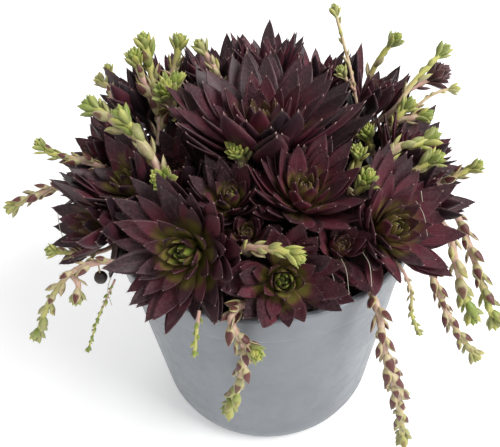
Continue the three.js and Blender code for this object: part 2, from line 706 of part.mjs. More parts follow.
// ---- the clump ----
const room = runnerRoom();
for (const rosette of rosettes) {
  rosette.planes = cellPlanes(rosette);
  const middle = rosette.base.clone().addScaledVector(rosette.axis, 0.4 * rosette.leaf);
  rosette.nearRunners = room.filter(({ point }) => point.distanceTo(middle) < 1.3 * rosette.leaf);
  const orders = [...Array(Math.round(outerShare * rosette.count)).keys()];
  rosette.leaves = orders.map((order) => settledLeaf(rosette, order)).filter((leaf) => leaf);
}

const potLook = { color: 0x8f9499, roughness: 0.45, metalness: 0 };
const soilLook = { color: 0x2a211b, roughness: 0.95, metalness: 0 };
const leafLook = { color: 0x44222d, roughness: 0.5, metalness: 0 };
const runnerLook = { color: 0xa3a04e, roughness: 0.55, metalness: 0 };
const offsetLook = { color: 0x3a2624, roughness: 0.55, metalness: 0 };

const group = new THREE.Group();
group.add(meshOf('pot', potSolid(), potLook));
group.add(meshOf('potting_soil', soilSolid(), soilLook));
for (const rosette of rosettes) {
  group.add(meshOf(rosette.name, rosetteSolid(rosette), leafLook));
}
for (const runner of runners) {
  group.add(meshOf(runner.name, runnerSolid(runner), runner.bud ? offsetLook : runnerLook));
}

export default group;
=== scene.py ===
import math

import bpy
import numpy as np
from bpy.props import FloatProperty, FloatVectorProperty, IntProperty, PointerProperty
from mathutils import Matrix, Vector


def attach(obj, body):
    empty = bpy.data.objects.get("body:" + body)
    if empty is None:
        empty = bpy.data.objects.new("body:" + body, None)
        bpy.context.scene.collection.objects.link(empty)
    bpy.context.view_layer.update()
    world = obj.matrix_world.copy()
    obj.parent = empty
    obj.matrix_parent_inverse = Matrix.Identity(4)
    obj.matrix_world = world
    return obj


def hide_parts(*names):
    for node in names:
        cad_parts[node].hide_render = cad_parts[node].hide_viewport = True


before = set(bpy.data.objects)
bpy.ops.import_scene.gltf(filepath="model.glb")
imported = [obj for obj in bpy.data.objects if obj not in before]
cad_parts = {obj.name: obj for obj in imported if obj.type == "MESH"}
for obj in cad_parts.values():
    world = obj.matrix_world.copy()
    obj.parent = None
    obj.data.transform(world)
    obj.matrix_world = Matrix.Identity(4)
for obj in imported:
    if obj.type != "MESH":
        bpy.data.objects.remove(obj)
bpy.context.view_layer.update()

bl_info = {
    "name": "Potted houseleek",
    "version": (1, 0, 0),
    "blender": (4, 5, 0),
    "location": "3D View > Sidebar > Houseleek",
    "description": "Makes a pot of houseleek rosettes with runners, and a studio to show it in",
    "category": "Add Mesh",
}

# Shapes are worked out in millimetres, +Z up from the pot's foot, and become metres in the mesh.
MM = 0.001

# ---- pot and soil ----
RIM_RADIUS = 65.0
POT_HEIGHT = 103.0
FOOT_RADIUS = 50.6
FOOT_CORNER = 10.0
WALL = 1.7
FLOOR = 2.6
BAND_HEIGHT = 15.0
BAND_STEP = 1.2
LIP_WIDTH = 3.1
LIP_CORNER = 0.6
LIP_FALL_OUTSIDE = 0.9
LIP_FALL_INSIDE = 1.1
POT_ROUNDING = 2.4
POT_AROUND = 160
SHARP_EDGE = math.radians(50)
DRAIN_HOLES = 4
DRAIN_RADIUS = 3.5
DRAIN_CIRCLE = 30.0
DRAIN_CUT = (-2, 5)
SOIL_EDGE = 93.0
SOIL_CROWN = 110.0
SOIL_RINGS = 34
SOIL_AROUND = 120
SOIL_LUMP = 2.2
CRUMB_LEVELS = np.array([-0.55, 0.45])
HOLE_DEPTH = 9.0
GAP = 0.3

# ---- rosettes ----
# All stems point away from this place inside the pot.
HEART = np.array([0.0, 4.0, 33.0])
GOLDEN = math.radians(137.508)
CELL_MARGIN = 0.3
RIM_MARGIN = 3.0
RIM_FALL = 1.7
WIDEST_AT = 0.62
# Foot, power and roundness of a leaf's width, in the solid model and as it is drawn, which is
# straighter at its shoulders and sharper.
SOLID_FORM = (0.5, 0.62, 0.45)
DRAWN_FORM = (0.52, 0.8, 0.32)
LEAF_CUP = 0.22
LEAF_SLIMNESS = 0.3
INNER_SHORTER = 0.6
INNER_NARROWER = 0.42
OUTER_CURL = 30.0
INNER_CURL = 12.0
RISE_POWER = 1.2
LEAF_EDGE = 0.6
LEAF_FLESH = 0.028
TIP_THINNING = 0.7
ROOT_SPREAD = 0.12
ROOT_CLIMB = 0.17
TURN_CHANCE = 0.2
RISE_CHANCE = 5.0
LEAST_LENGTH = 0.9
LENGTH_CHANCE = 0.16
STEM_LEAST = 1.2
STEM_GROWTH = 0.075
STEEPEST = 84.0
# How far a leaf may be lifted and turned, in degrees, and shortened, to get clear of others.
LIFTS = [0, 8, 16, 26, 38]
SWINGS = [0, 9, -9, 18, -18]
TRIMS = [1, 0.86, 0.72, 0.58, 0.46]
# Shares of a leaf at which its distance from the runners is measured.
PROBES = np.array([0.15, 0.3, 0.45, 0.6, 0.75, 0.88, 1.0])
# The centre of a rosette for its cell, and the centre and reach of the runners that its leaves
# may meet, as shares of its longest leaf.
CELL_AT = 0.3
NEAR_AT = 0.4
NEAR_REACH = 1.3
# The solid model has this share of the leaves. The others may cross the planes between rosettes
# by a few millimetres, and keep a smaller share of the room to the runners: (margin, room).
OUTER_SHARE = 0.72
STRICT = (CELL_MARGIN, 1.0)
LOOSE = (-3.0, 0.3)
# Leaves set between the others: this share of the count, and more for a rosette of narrow leaves.
BETWEEN_LEAST = 0.3
BETWEEN_NARROW = 1.5
# Withered leaves that hang down the stem below the others.
SKIRT = 14
SKIRT_FALL = 30.0
SKIRT_FLOOR = 97.0
SKIRT_ROOM = 2.0
# The innermost leaves, from their first to their last: rise and curl in degrees, then shares of
# the rosette's longest leaf.
HEART_LEAVES = 15
HEART_RISE = 88
HEART_CURL = (14, 26)
HEART_LENGTH = (0.42, 0.17)
HEART_WIDTH = (0.56, 0.3)
HEART_FLESH = 0.02
HEART_ROOT_OUT = (0.11, 0.025)
HEART_ROOT_UP = (0.17, 0.2)
# A leaf's rings from root to tip, and how its surface is drawn.
LEAF_SHARES = np.array([0.02, 0.15, 0.3, 0.45, 0.6, 0.74, 0.86, 0.94, 0.985])
LEAF_TIP = 1.035
LEAF_AROUND = 8
LEAF_SWAY = 0.13
LEAF_ROLL = 0.5
UPPER_FLESH = 0.12
LOWER_FLESH = 0.9
HAIRS = 11
STEM_DRYNESS = 0.85

# ---- runners ----
RUNNER_RADIUS = 1.2
ROOT_DROP = 4.0
ROOT_STRAIGHT = 2.0
SCALE_OUT = 3.0
BRANCH_BARE = 0.25
PROBE_STEP = 2
AXIS_PROBES = 40
STEM_AROUND = 8
STEM_STEP = 1.6
STEM_WOBBLE = 0.25
# Where on a runner its leaves begin to turn from brown to green.
GREEN_FROM = 0.45
# Reach and length of the young rosettes at the runners' ends in the solid model.
BUD = (4.0, 8.0)
DARK_BUD = (7.5, 12.0)
# Leaves of a young rosette, and reach, length and leaves of those drawn on the dark runner and on
# the thin shoots, which are bare up to a share.
BUD_LEAVES = 21
DARK_BUD_DRAWN = (10.0, 13.0, 38)
SHOOT_BUD = (1.8, 4.0, 11)
SHOOT_BARE = 0.05
# Rings of a small leaf from root to tip.
LEAFLET_SHARES = np.array([0.04, 0.2, 0.4, 0.6, 0.8, 0.94])
LEAFLET_TIP = 1.04
LEAFLET_AROUND = 6

# name: (base, axis, weight, longest leaf, leaves, lowest rise, steepest rise, green of its heart,
# redness, breadth of its leaves)
ROSETTES = {
    "top": ((1, 8, 127), (0, -0.06, 1), 38, 45, 36, 15, 78, 0.5, 0.8, 0.88),
    "front_left": ((-26, -39, 115), (-0.32, -0.72, 0.58), 27, 33, 36, -6, 76, 1.0, 0.55, 0.8),
    "middle": ((15, -21, 121), (0.1, -0.25, 1), 29, 30, 28, 16, 80, 0.7, 1.25, 0.85),
    "ball": ((-12, -22, 122), (-0.05, -0.3, 1), 24, 21, 20, 30, 84, 0.9, 0.35, 1),
    "front": ((6, -48, 108), (0.05, -0.72, 0.62), 22, 28, 26, -4, 76, 1.0, 0.8, 0.88),
    "right": ((45, -27, 111), (0.42, -0.55, 0.7), 26, 33, 30, -4, 76, 0.75, 0.95, 0.86),
    "left_inner": ((-50, -7, 119), (-0.4, -0.25, 0.85), 23, 30, 22, 6, 76, 0.8, 0.4, 0.85),
    "left": ((-64, 20, 115), (-0.7, -0.05, 0.65), 21, 30, 22, 2, 76, 0.35, 0.35, 0.85),
    "back_left": ((-51, 40, 125), (-0.4, 0.2, 0.85), 22, 31, 22, 8, 76, 0.3, 0.3, 0.82),
    "back_left_small": ((-34, 51, 130), (-0.2, 0.3, 0.9), 19, 27, 16, 10, 78, 0.3, 0.4, 0.85),
    "back_right": ((48, 41, 124), (0.35, 0.2, 0.9), 21, 29, 20, 8, 76, 0.3, 0.4, 0.78),
    "right_far": ((59, 12, 115), (0.5, -0.05, 0.8), 22, 30, 20, 4, 76, 0.35, 0.5, 0.8),
    "right_low": ((63, -9, 111), (0.85, -0.3, 0.5), 19, 25, 14, 6, 72, 0.3, 0.5, 0.85),
    "small_right": ((27, -39, 113), (0.2, -0.5, 0.8), 19, 20, 14, 10, 74, 0.5, 0.9, 1),
    "small_middle": ((-6, -36, 118), (-0.05, -0.45, 0.85), 19, 19, 14, 16, 76, 0.7, 0.6, 1),
    "sky_left": ((-18, 51, 132), (-0.1, 0.2, 0.95), 20, 27, 20, 8, 80, 0.25, 0.5, 0.75),
    "sky_middle": ((4, 54, 134), (0.02, 0.2, 0.95), 21, 28, 22, 8, 80, 0.25, 0.5, 0.75),
    "sky_right": ((26, 50, 129), (0.15, 0.2, 0.95), 20, 26, 18, 8, 80, 0.25, 0.5, 0.75),
    "rear_left": ((-41, 55, 117), (-0.45, 0.75, 0.5), 22, 26, 12, 4, 72, 0.4, 0.4, 0.85),
    "rear": ((-6, 66, 118), (-0.1, 0.85, 0.5), 23, 26, 13, 4, 72, 0.4, 0.4, 1),
    "rear_right": ((30, 60, 117), (0.3, 0.8, 0.5), 22, 26, 12, 4, 72, 0.4, 0.4, 0.8),
    "rear_far_right": ((58, 33, 116), (0.75, 0.4, 0.5), 20, 24, 12, 4, 72, 0.4, 0.4, 0.8),
    "left_low": ((-60, -19, 111), (-0.75, -0.45, 0.5), 22, 32, 20, 0, 74, 0.5, 0.35, 0.85),
    "mid_left": ((-31, -3, 119), (-0.3, -0.3, 1), 18, 24, 16, 10, 78, 0.4, 0.3, 1),
    "gap_left": ((-35, 20, 117), (-0.1, 0, 1), 18, 21, 14, 10, 78, 0.3, 0.3, 1),
}

# name: (mother, bare share, look, size, path, then (share, path) for each branch)
RUNNERS = {
    "tall_back_left": ("left_inner", 0.35, "plain", 1.3,
        [[-43, 22, 132], [-45.5, 36, 147.5], [-48.5, 44, 164]],
        (0.5, [[-50, 36, 148.5], [-52.5, 38, 159.5]])),
    "small_far_left": ("back_left", 0.5, "grey", 0.75,
        [[-65, 53.5, 134.5], [-70, 60, 142.5]]),
    "brown_far_left": ("back_left", 0.4, "brown", 0.9,
        [[-64, 38, 136], [-67, 44, 139.5], [-72.5, 49, 142]]),
    "thick_left": ("left_inner", 0.3, "green", 1.35,
        [[-38, -18, 132], [-42.5, -12, 141.5], [-49.5, -4, 147.5], [-55, 2, 152]],
        (0.72, [[-60.5, 8, 146], [-70.5, 16, 148.5]]),
        (0.33, [[-37, -23, 136], [-38.5, -27, 141]])),
    "cluster_left": ("back_left_small", 0.4, "green", 1.5,
        [[-37, 26, 137], [-37, 28, 146], [-33, 31, 151]],
        (0.6, [[-38.5, 22, 147], [-38, 22, 153]])),
    "skyline_left": ("sky_left", 0.3, "plain", 1.2,
        [[-39, 46, 140.5], [-36, 50, 150], [-34, 55, 158]]),
    "beads": ("sky_left", 0.3, "beaded", 1.15,
        [[-16, 38, 143], [-20, 40, 152], [-25.5, 44, 160]]),
    "high_left": ("left", 0.3, "plain", 1,
        [[-68.5, 4, 126], [-77.5, 5, 129], [-86.5, 6, 131], [-92, 7, 136]]),
    "low_left": ("left_low", 0.25, "brown", 1,
        [[-74, -5, 118], [-83, -4, 121], [-94.5, -5, 118], [-106.5, -6, 112]]),
    "side_left": ("left_low", 0.3, "plain", 0.8,
        [[-68, -28.5, 106], [-76, -31, 108.5], [-84.5, -32, 111.5]]),
    "hanging_left": ("front_left", 0.3, "grey", 0.9,
        [[-50, -43, 113], [-61, -44, 115.5], [-72.5, -44, 111], [-84, -44, 96.5], [-96, -42, 72]],
        (0.52, [[-71, -46, 107], [-73, -48, 99]])),
    "hanging_front": ("front", 0.18, "plain", 1.05,
        [[-12.5, -67, 108], [-8.5, -70, 95.5], [-11, -69, 73], [-16.5, -66, 51]],
        (0.42, [[-6, -73, 99], [-3.5, -77, 99]])),
    "hanging_right": ("right", 0.22, "brown", 1.1,
        [[39, -50, 105], [41, -60, 102], [45, -66, 81], [52, -66, 55.5], [57.5, -64, 24]],
        (0.45, [[49, -59, 70], [55, -57, 46]])),
    "thin_right": ("right", 0.4, "grey", 0.5,
        [[51, -41, 107], [56, -46, 98], [57, -49, 87], [61, -50, 77]]),
    "lower_right": ("right", 0.3, "brown", 1,
        [[58, -27, 107], [67, -31, 93], [74, -37, 77], [82, -39, 62], [91, -40, 48]]),
    "middle_right": ("right_low", 0.3, "green", 1.25,
        [[74, -18, 105], [79, -26, 91], [84, -29, 76], [90, -30, 62]]),
    "outer_right": ("right_low", 0.25, "plain", 1.15,
        [[79, -6, 104], [90, -16, 84], [96, -24, 68], [102, -26, 54]]),
    "short_right": ("right_far", 0.4, "thin", 0.85,
        [[70, 33, 132], [79, 37, 136], [87.5, 40, 135.5]]),
    "long_right": ("back_right", 0.3, "sparse", 1.15,
        [[58.5, 30, 132], [66, 36, 140], [75, 42, 147], [82, 47, 152]]),
    "skyline_right": ("back_right", 0.3, "sparse", 1.2,
        [[51, 55, 134], [56, 57, 144], [63, 58, 153]]),
    "tallest": ("back_right", 0.35, "thin", 0.85,
        [[42, 27, 136], [39, 34, 150], [35.5, 42, 162], [32.5, 48, 172]],
        (0.4, [[37, 28, 148], [34, 29, 153.5]])),
    "green_head": ("right_far", 0.5, "green", 1.15,
        [[46, 8, 127], [43, 9, 137]]),
    "yellow_head": ("middle", 0.5, "yellow", 1.1,
        [[38, -8, 129], [37.5, -8, 138]]),
    "yellow_arm": ("right", 0.45, "yellow", 1.2,
        [[49, -5, 128], [54.5, -2, 134], [63, 0, 134], [70.5, 4, 136]]),
    "fork": ("right_far", 0.4, "green", 1.1,
        [[56, 22, 128], [59.5, 22, 134], [65, 26, 138]],
        (0.65, [[66, 20, 134], [72, 22, 134]])),
    "pink_arm": ("right", 0.4, "green", 1.15,
        [[35.5, -22, 125.5], [38, -24, 132], [40.5, -24, 137.5]]),
    "arm_right": ("right_low", 0.4, "green", 1.2,
        [[58, -8, 123], [64.5, -8, 129], [71, -6, 132]]),
    "reach_right": ("right_low", 0.4, "plain", 1,
        [[73, -4, 117], [81, -4, 121], [89, -3, 125]]),
    "over_front": ("small_middle", 0.35, "yellow", 1,
        [[-7, -49, 125], [-0.5, -53.5, 128.5], [5.5, -56, 129.5], [13, -59, 128]]),
    "top_bud": ("ball", 0.5, "yellow", 1.35,
        [[-7, -10, 134], [-10, -14, 144]]),
    "dark_offset": ("back_right", 0.45, "dark", 1,
        [[63, 42, 132], [76, 46, 137], [83, 48, 141]]),
    "rear": ("rear", 0.3, "plain", 1,
        [[8, 84, 116], [14, 92, 104], [16, 94, 88]]),
    "rear_left": ("rear_left", 0.3, "plain", 1,
        [[-58, 70, 116], [-68, 76, 108], [-72, 78, 96]]),
}

DARK_RUNNER = "dark_offset"
# How green and how brown the scale leaves of each kind of runner are, how far apart they stand,
# and the share of the usual size that its stem and scale leaves have.
RUNNER_LOOKS = {
    "plain": (0.8, 0.8, 1.0, 1.0),
    "brown": (0.5, 1.1, 1.0, 1.0),
    "green": (1.0, 0.45, 1.0, 1.0),
    "yellow": (0.9, 0.3, 0.9, 1.0),
    "grey": (0.7, 0.5, 1.5, 1.0),
    "thin": (0.5, 0.4, 2.2, 0.65),
    "sparse": (0.85, 0.3, 1.8, 0.85),
    "beaded": (0.5, 0.15, 0.75, 0.85),
    "dark": (0.0, 1.0, 1.2, 1.0),
    "shoot": (3.0, 0.0, 2.0, 1.0),
}

# The ball that hangs on a thin stalk from a runner: its centre, its radius and the share of the
# runner where the stalk begins.
BERRY = ((-62.5, -44, 107.5), 2.6, 0.38)
BERRY_RUNNER = "hanging_left"
BERRY_RINGS = 9
BERRY_AROUND = 16
BERRY_DENTS = 0.05
STALK_RADIUS = 0.35

# Loose pale threads, and two thin shoots, which have leaves: radius, size of the leaves, points.
# Their draws start at a number of their own.
THREAD_SEED = 90
THREADS = [
    (0.3, 0.35, [[-57, -45, 107], [-63, -46, 95], [-68, -45, 84],
                 [-72.5, -44.5, 72], [-75.5, -44, 65]]),
    (0.17, 0, [[-86, -6, 112], [-86.5, -8, 104], [-85.5, -10, 95]]),
    (0.16, 0, [[-46, -24, 130], [-47, -29, 127], [-46.5, -32, 122]]),
    (0.4, 0.5, [[-23.5, -66, 111], [-24.5, -70, 106], [-25.5, -71.5, 100], [-26.4, -71.5, 94]]),
    (0.16, 0, [[61, -22, 127], [62, -25, 120], [61.5, -27, 112]]),
    (0.14, 0, [[24, -52, 116], [25.5, -57, 111], [25, -59, 104]]),
    (0.15, 0, [[70, -18, 114], [74, -23, 108], [75, -25, 100]]),
    (0.15, 0, [[-58, -42, 108], [-60, -47, 104], [-59.5, -48, 96]]),
    (0.13, 0, [[35.5, -49, 121], [37.2, -55, 120.5], [37.9, -59.5, 114]]),
    (0.13, 0, [[58.9, -24.2, 124], [60.6, -31, 123], [62.8, -33.4, 114]]),
    (0.12, 0, [[27.8, -50, 119], [29.1, -55, 118], [30.2, -58.5, 109]]),
]

# ---- stage ----
# The camera's place, its turn, and its focal length and aim in pixels of the rendered frame.
CAMERA_PLACE = (0.0, -235.1, 293.0)
CAMERA_DOWN = math.radians(38.94)
CAMERA_ROLL = math.radians(-1.80)
CAMERA_FOCUS = 700.0
CAMERA_AIM = (250.0 - 262.7, 223.5 - 208.7)
FRAME_WIDTH = 500.0
CAMERA_CLIP = (0.01, 20.0)
SENSOR = 36.0
FLOOR_REACH = 3.0
# name: (place, size), in metres. All lights face the clump.
LIGHTS = {
    "key": ((0.95, -0.45, 1.1), 0.9),
    "fill": ((-0.8, -0.6, 0.9), 0.9),
    "back": ((0.1, 0.9, 1.0), 0.8),
}
LIGHT_AIM = (0, 0, 0.1)


def unit(v):
    return v / np.linalg.norm(v, axis=-1, keepdims=True)


def blend(low, high, share):
    return low + (high - low) * share


def smooth(share):
    """Runs from 0 to 1 with level ends: three squares less two cubes of the share."""
    q = np.clip(share, 0.0, 1.0)
    return q * q * (3.0 - 2.0 * q)


def draw(number):
    """A repeatable draw between 0 and 1: what is left of a large sine wave after its whole part."""
    wave = np.sin(number * 12.9898 + 78.233) * 43758.5453
    return wave - np.floor(wave)


# ---- surfaces ----
class Skin:
    """Gathers closed surfaces, with vectors at their points, into one mesh."""

    def __init__(self):
        self.points, self.quads, self.tris = [], [], []
        self.place, self.look = [], []
        self.count = 0

    def add(self, skins, place=(0, 0, 0), look=(0, 0, 0)):
        """Adds skins, with a place and a look for each point, or one for all of them."""
        points, quads, tris = skins
        self.points.append(points.reshape(-1, 3))
        self.quads.append(quads.reshape(-1, 4) + self.count)
        self.tris.append(tris.reshape(-1, 3) + self.count)
        self.place.append(np.broadcast_to(place, points.shape).reshape(-1, 3))
        self.look.append(np.broadcast_to(look, points.shape).reshape(-1, 3))
        self.count += len(self.points[-1])

    def piece(self, name, material):
        """Makes the object, at the origin, with its place in its mesh."""
        points = np.concatenate(self.points) * MM
        quads = np.concatenate(self.quads)
        tris = np.concatenate(self.tris)
        corners = np.concatenate([quads.ravel(), tris.ravel()]).astype(np.int32)
        starts = np.concatenate([
            np.arange(len(quads)) * 4,
            len(quads) * 4 + np.arange(len(tris)) * 3,
        ]).astype(np.int32)
        mesh = bpy.data.meshes.new(name)
        mesh.vertices.add(len(points))
        mesh.vertices.foreach_set("co", points.astype(np.float32).ravel())
        mesh.loops.add(len(corners))
        mesh.loops.foreach_set("vertex_index", corners)
        mesh.polygons.add(len(starts))
        mesh.polygons.foreach_set("loop_start", starts)
        mesh.polygons.foreach_set("use_smooth", np.full(len(starts), True))
        for label, values in (("place", self.place), ("look", self.look)):
            layer = mesh.attributes.new(label, "FLOAT_VECTOR", "POINT")
            layer.data.foreach_set("vector", np.concatenate(values).astype(np.float32).ravel())
        mesh.update(calc_edges=True)
        if mesh.validate():
            raise RuntimeError(f"{name} has faulty faces")
        mesh.materials.append(material)
        piece = bpy.data.objects.new(name, mesh)
        bpy.context.scene.collection.objects.link(piece)
        return piece


def closed_skins(first, rings, last):
    """K closed skins, each from a first point over S rings of N points to a last point. The rings
    turn from one direction to a second whose cross product points along the skin."""
    copies, steps, around = rings.shape[:3]
    per = steps * around + 2
    points = np.concatenate(
        [first[:, None], rings.reshape(copies, steps * around, 3), last[:, None]], axis=1)
    here = np.arange(around)
    near = (here + 1) % around
    ring = 1 + np.arange(steps - 1)[:, None] * around
    quads = np.stack([ring + here, ring + near, ring + around + near, ring + around + here], -1)
    end = per - 1
    tris = np.concatenate([
        np.stack([0 * here, 1 + near, 1 + here], -1),
        np.stack([0 * here + end, end - around + here, end - around + near], -1),
    ])
    base = np.arange(copies) * per
    return (points, quads.reshape(1, -1, 4) + base[:, None, None], tris[None] + base[:, None, None])


def turned_skin(profile, around):
    """A profile of [radius, height] from axis to axis, carried once round +Z."""
    profile = np.array(profile, dtype=float)
    angle = 2.0 * np.pi * np.arange(around) / around
    radius, height = profile[1:-1, 0], profile[1:-1, 1]
    rings = np.stack([
        radius[:, None] * np.cos(angle),
        radius[:, None] * np.sin(angle),
        height[:, None] + 0.0 * angle,
    ], -1)[None]
    ends = np.array([[0.0, 0.0, profile[0, 1]]]), np.array([[0.0, 0.0, profile[-1, 1]]])
    return closed_skins(ends[0], rings, ends[1])


def rounded(profile, reach, steps):
    """Rounds each inner corner of a profile with a quadratic arc that starts reach before it, or
    a little less than half of the shorter side before it where that is nearer."""
    profile = np.array(profile, dtype=float)
    points = [profile[0]]
    for before, corner, after in zip(profile[:-2], profile[1:-1], profile[2:]):
        back, ahead = before - corner, after - corner
        room = min(reach, 0.45 * np.linalg.norm(back), 0.45 * np.linalg.norm(ahead))
        start = corner + room * unit(back)
        end = corner + room * unit(ahead)
        share = np.linspace(0.0, 1.0, steps)[:, None]
        arc = (1 - share) ** 2 * start + 2 * share * (1 - share) * corner + share ** 2 * end
        points.extend(arc)
    points.append(profile[-1])
    return np.array(points)


# ---- smooth curves through points ----
class Path:
    """A centripetal Catmull-Rom curve, read by the share of its length."""

    DIVISIONS = 200
    HEADING_STEP = 1e-3

    def __init__(self, points):
        self.points = np.array(points, dtype=float)
        steps = np.linspace(0.0, 1.0, self.DIVISIONS + 1)
        trace = self.at_step(steps)
        legs = np.linalg.norm(np.diff(trace, axis=0), axis=1)
        self.run = np.concatenate([[0.0], np.cumsum(legs)])
        self.length = self.run[-1]
        self.steps = steps
        nearness = np.abs(self.heading(np.arange(AXIS_PROBES + 1) / AXIS_PROBES)).max(axis=0)
        self.far_axis = np.eye(3)[np.argmin(nearness)]

    def at_step(self, steps):
        """Cubic pieces whose slopes weigh each leg by the square root of its length."""
        given = self.points
        count = len(given)
        wide = np.concatenate([
            [2 * given[0] - given[1]], given, [2 * given[-1] - given[-2]]])
        place = np.clip(steps, 0.0, 1.0) * (count - 1)
        leg = np.minimum(np.floor(place).astype(int), count - 2)
        part = (place - leg)[:, None]
        p0, p1, p2, p3 = (wide[leg + k] for k in range(4))
        d0, d1, d2 = (
            np.sqrt(np.linalg.norm(b - a, axis=1))[:, None]
            for a, b in ((p0, p1), (p1, p2), (p2, p3)))
        m1 = ((p1 - p0) / d0 - (p2 - p0) / (d0 + d1) + (p2 - p1) / d1) * d1
        m2 = ((p2 - p1) / d1 - (p3 - p1) / (d1 + d2) + (p3 - p2) / d2) * d1
        return (p1 + m1 * part + (3 * (p2 - p1) - 2 * m1 - m2) * part ** 2
                + (2 * (p1 - p2) + m1 + m2) * part ** 3)

    def at(self, shares):
        shares = np.atleast_1d(np.asarray(shares, dtype=float))
        return self.at_step(np.interp(shares * self.length, self.run, self.steps))

    def heading(self, shares):
        shares = np.atleast_1d(np.asarray(shares, dtype=float))
        ahead = self.at(np.minimum(shares + self.HEADING_STEP, 1.0))
        return unit(ahead - self.at(np.maximum(shares - self.HEADING_STEP, 0.0)))

    def frames(self, shares, turns):
        """Points and headings, and at each a direction square to the heading, turned about it
        from the axis that the path keeps farthest from."""
        heading = self.heading(shares)
        across = unit(np.cross(heading, self.far_axis))
        over = np.cross(heading, across)
        turns = np.asarray(turns, dtype=float)[..., None]
        return self.at(shares), heading, np.cos(turns) * across + np.sin(turns) * over


def tube(path, radius, around, step, wobble=0.0, seed=0):
    """A round section carried along a path in steps of about one length, with blunt ends. The
    radius varies by the share wobble, with a draw for each point."""
    steps = max(3, int(path.length / step))
    shares = np.linspace(0.0, 1.0, steps + 1)
    middle, heading, across = path.frames(shares, np.zeros(steps + 1))
    over = np.cross(heading, across)
    angle = 2.0 * np.pi * np.arange(around) / around
    grain = draw(seed + 7.0 * np.arange(steps + 1)[:, None] + 3.0 * np.arange(around))
    size = radius * (1.0 + wobble * (grain - 0.5))
    rings = (middle[:, None]
             + across[:, None] * (size * np.cos(angle))[..., None]
             + over[:, None] * (size * np.sin(angle))[..., None])
    first = middle[:1] - 0.3 * radius * heading[:1]
    last = middle[-1:] + 0.5 * radius * heading[-1:]
    return closed_skins(first, rings[None], last), shares


# ---- the clump's rules, the same as in the solid model ----
def wall_radius(height):
    share = (height - FOOT_CORNER) / (POT_HEIGHT - FOOT_CORNER)
    return blend(FOOT_RADIUS, RIM_RADIUS - BAND_STEP, share)


def soil_top(radius):
    share = np.minimum(1.0, radius / (RIM_RADIUS - LIP_WIDTH)) ** 2
    return blend(SOIL_CROWN, SOIL_EDGE, share)


def floor_at(radius):
    """Lowest height for a leaf: over the soil, over the rim, then falling outside the pot."""
    inside = soil_top(radius) + RIM_MARGIN
    outside = POT_HEIGHT + RIM_MARGIN - RIM_FALL * np.maximum(0.0, radius - RIM_RADIUS - RIM_MARGIN)
    return np.where(radius < RIM_RADIUS - LIP_WIDTH - RIM_MARGIN, inside, outside)


def width_at(share, form):
    """Half width from root to tip. It swells smoothly from its foot to 1 at the widest share. From
    there it is the share that is left, raised to a power, with some roundness added."""
    foot, power, roundness = form
    swell = foot + (1 - foot) * smooth(share / WIDEST_AT)
    q = np.clip((share - WIDEST_AT) / (1 - WIDEST_AT), 0.0, 1.0)
    return np.where(share < WIDEST_AT, swell, (1 - q) ** power * (1 + roundness * q))


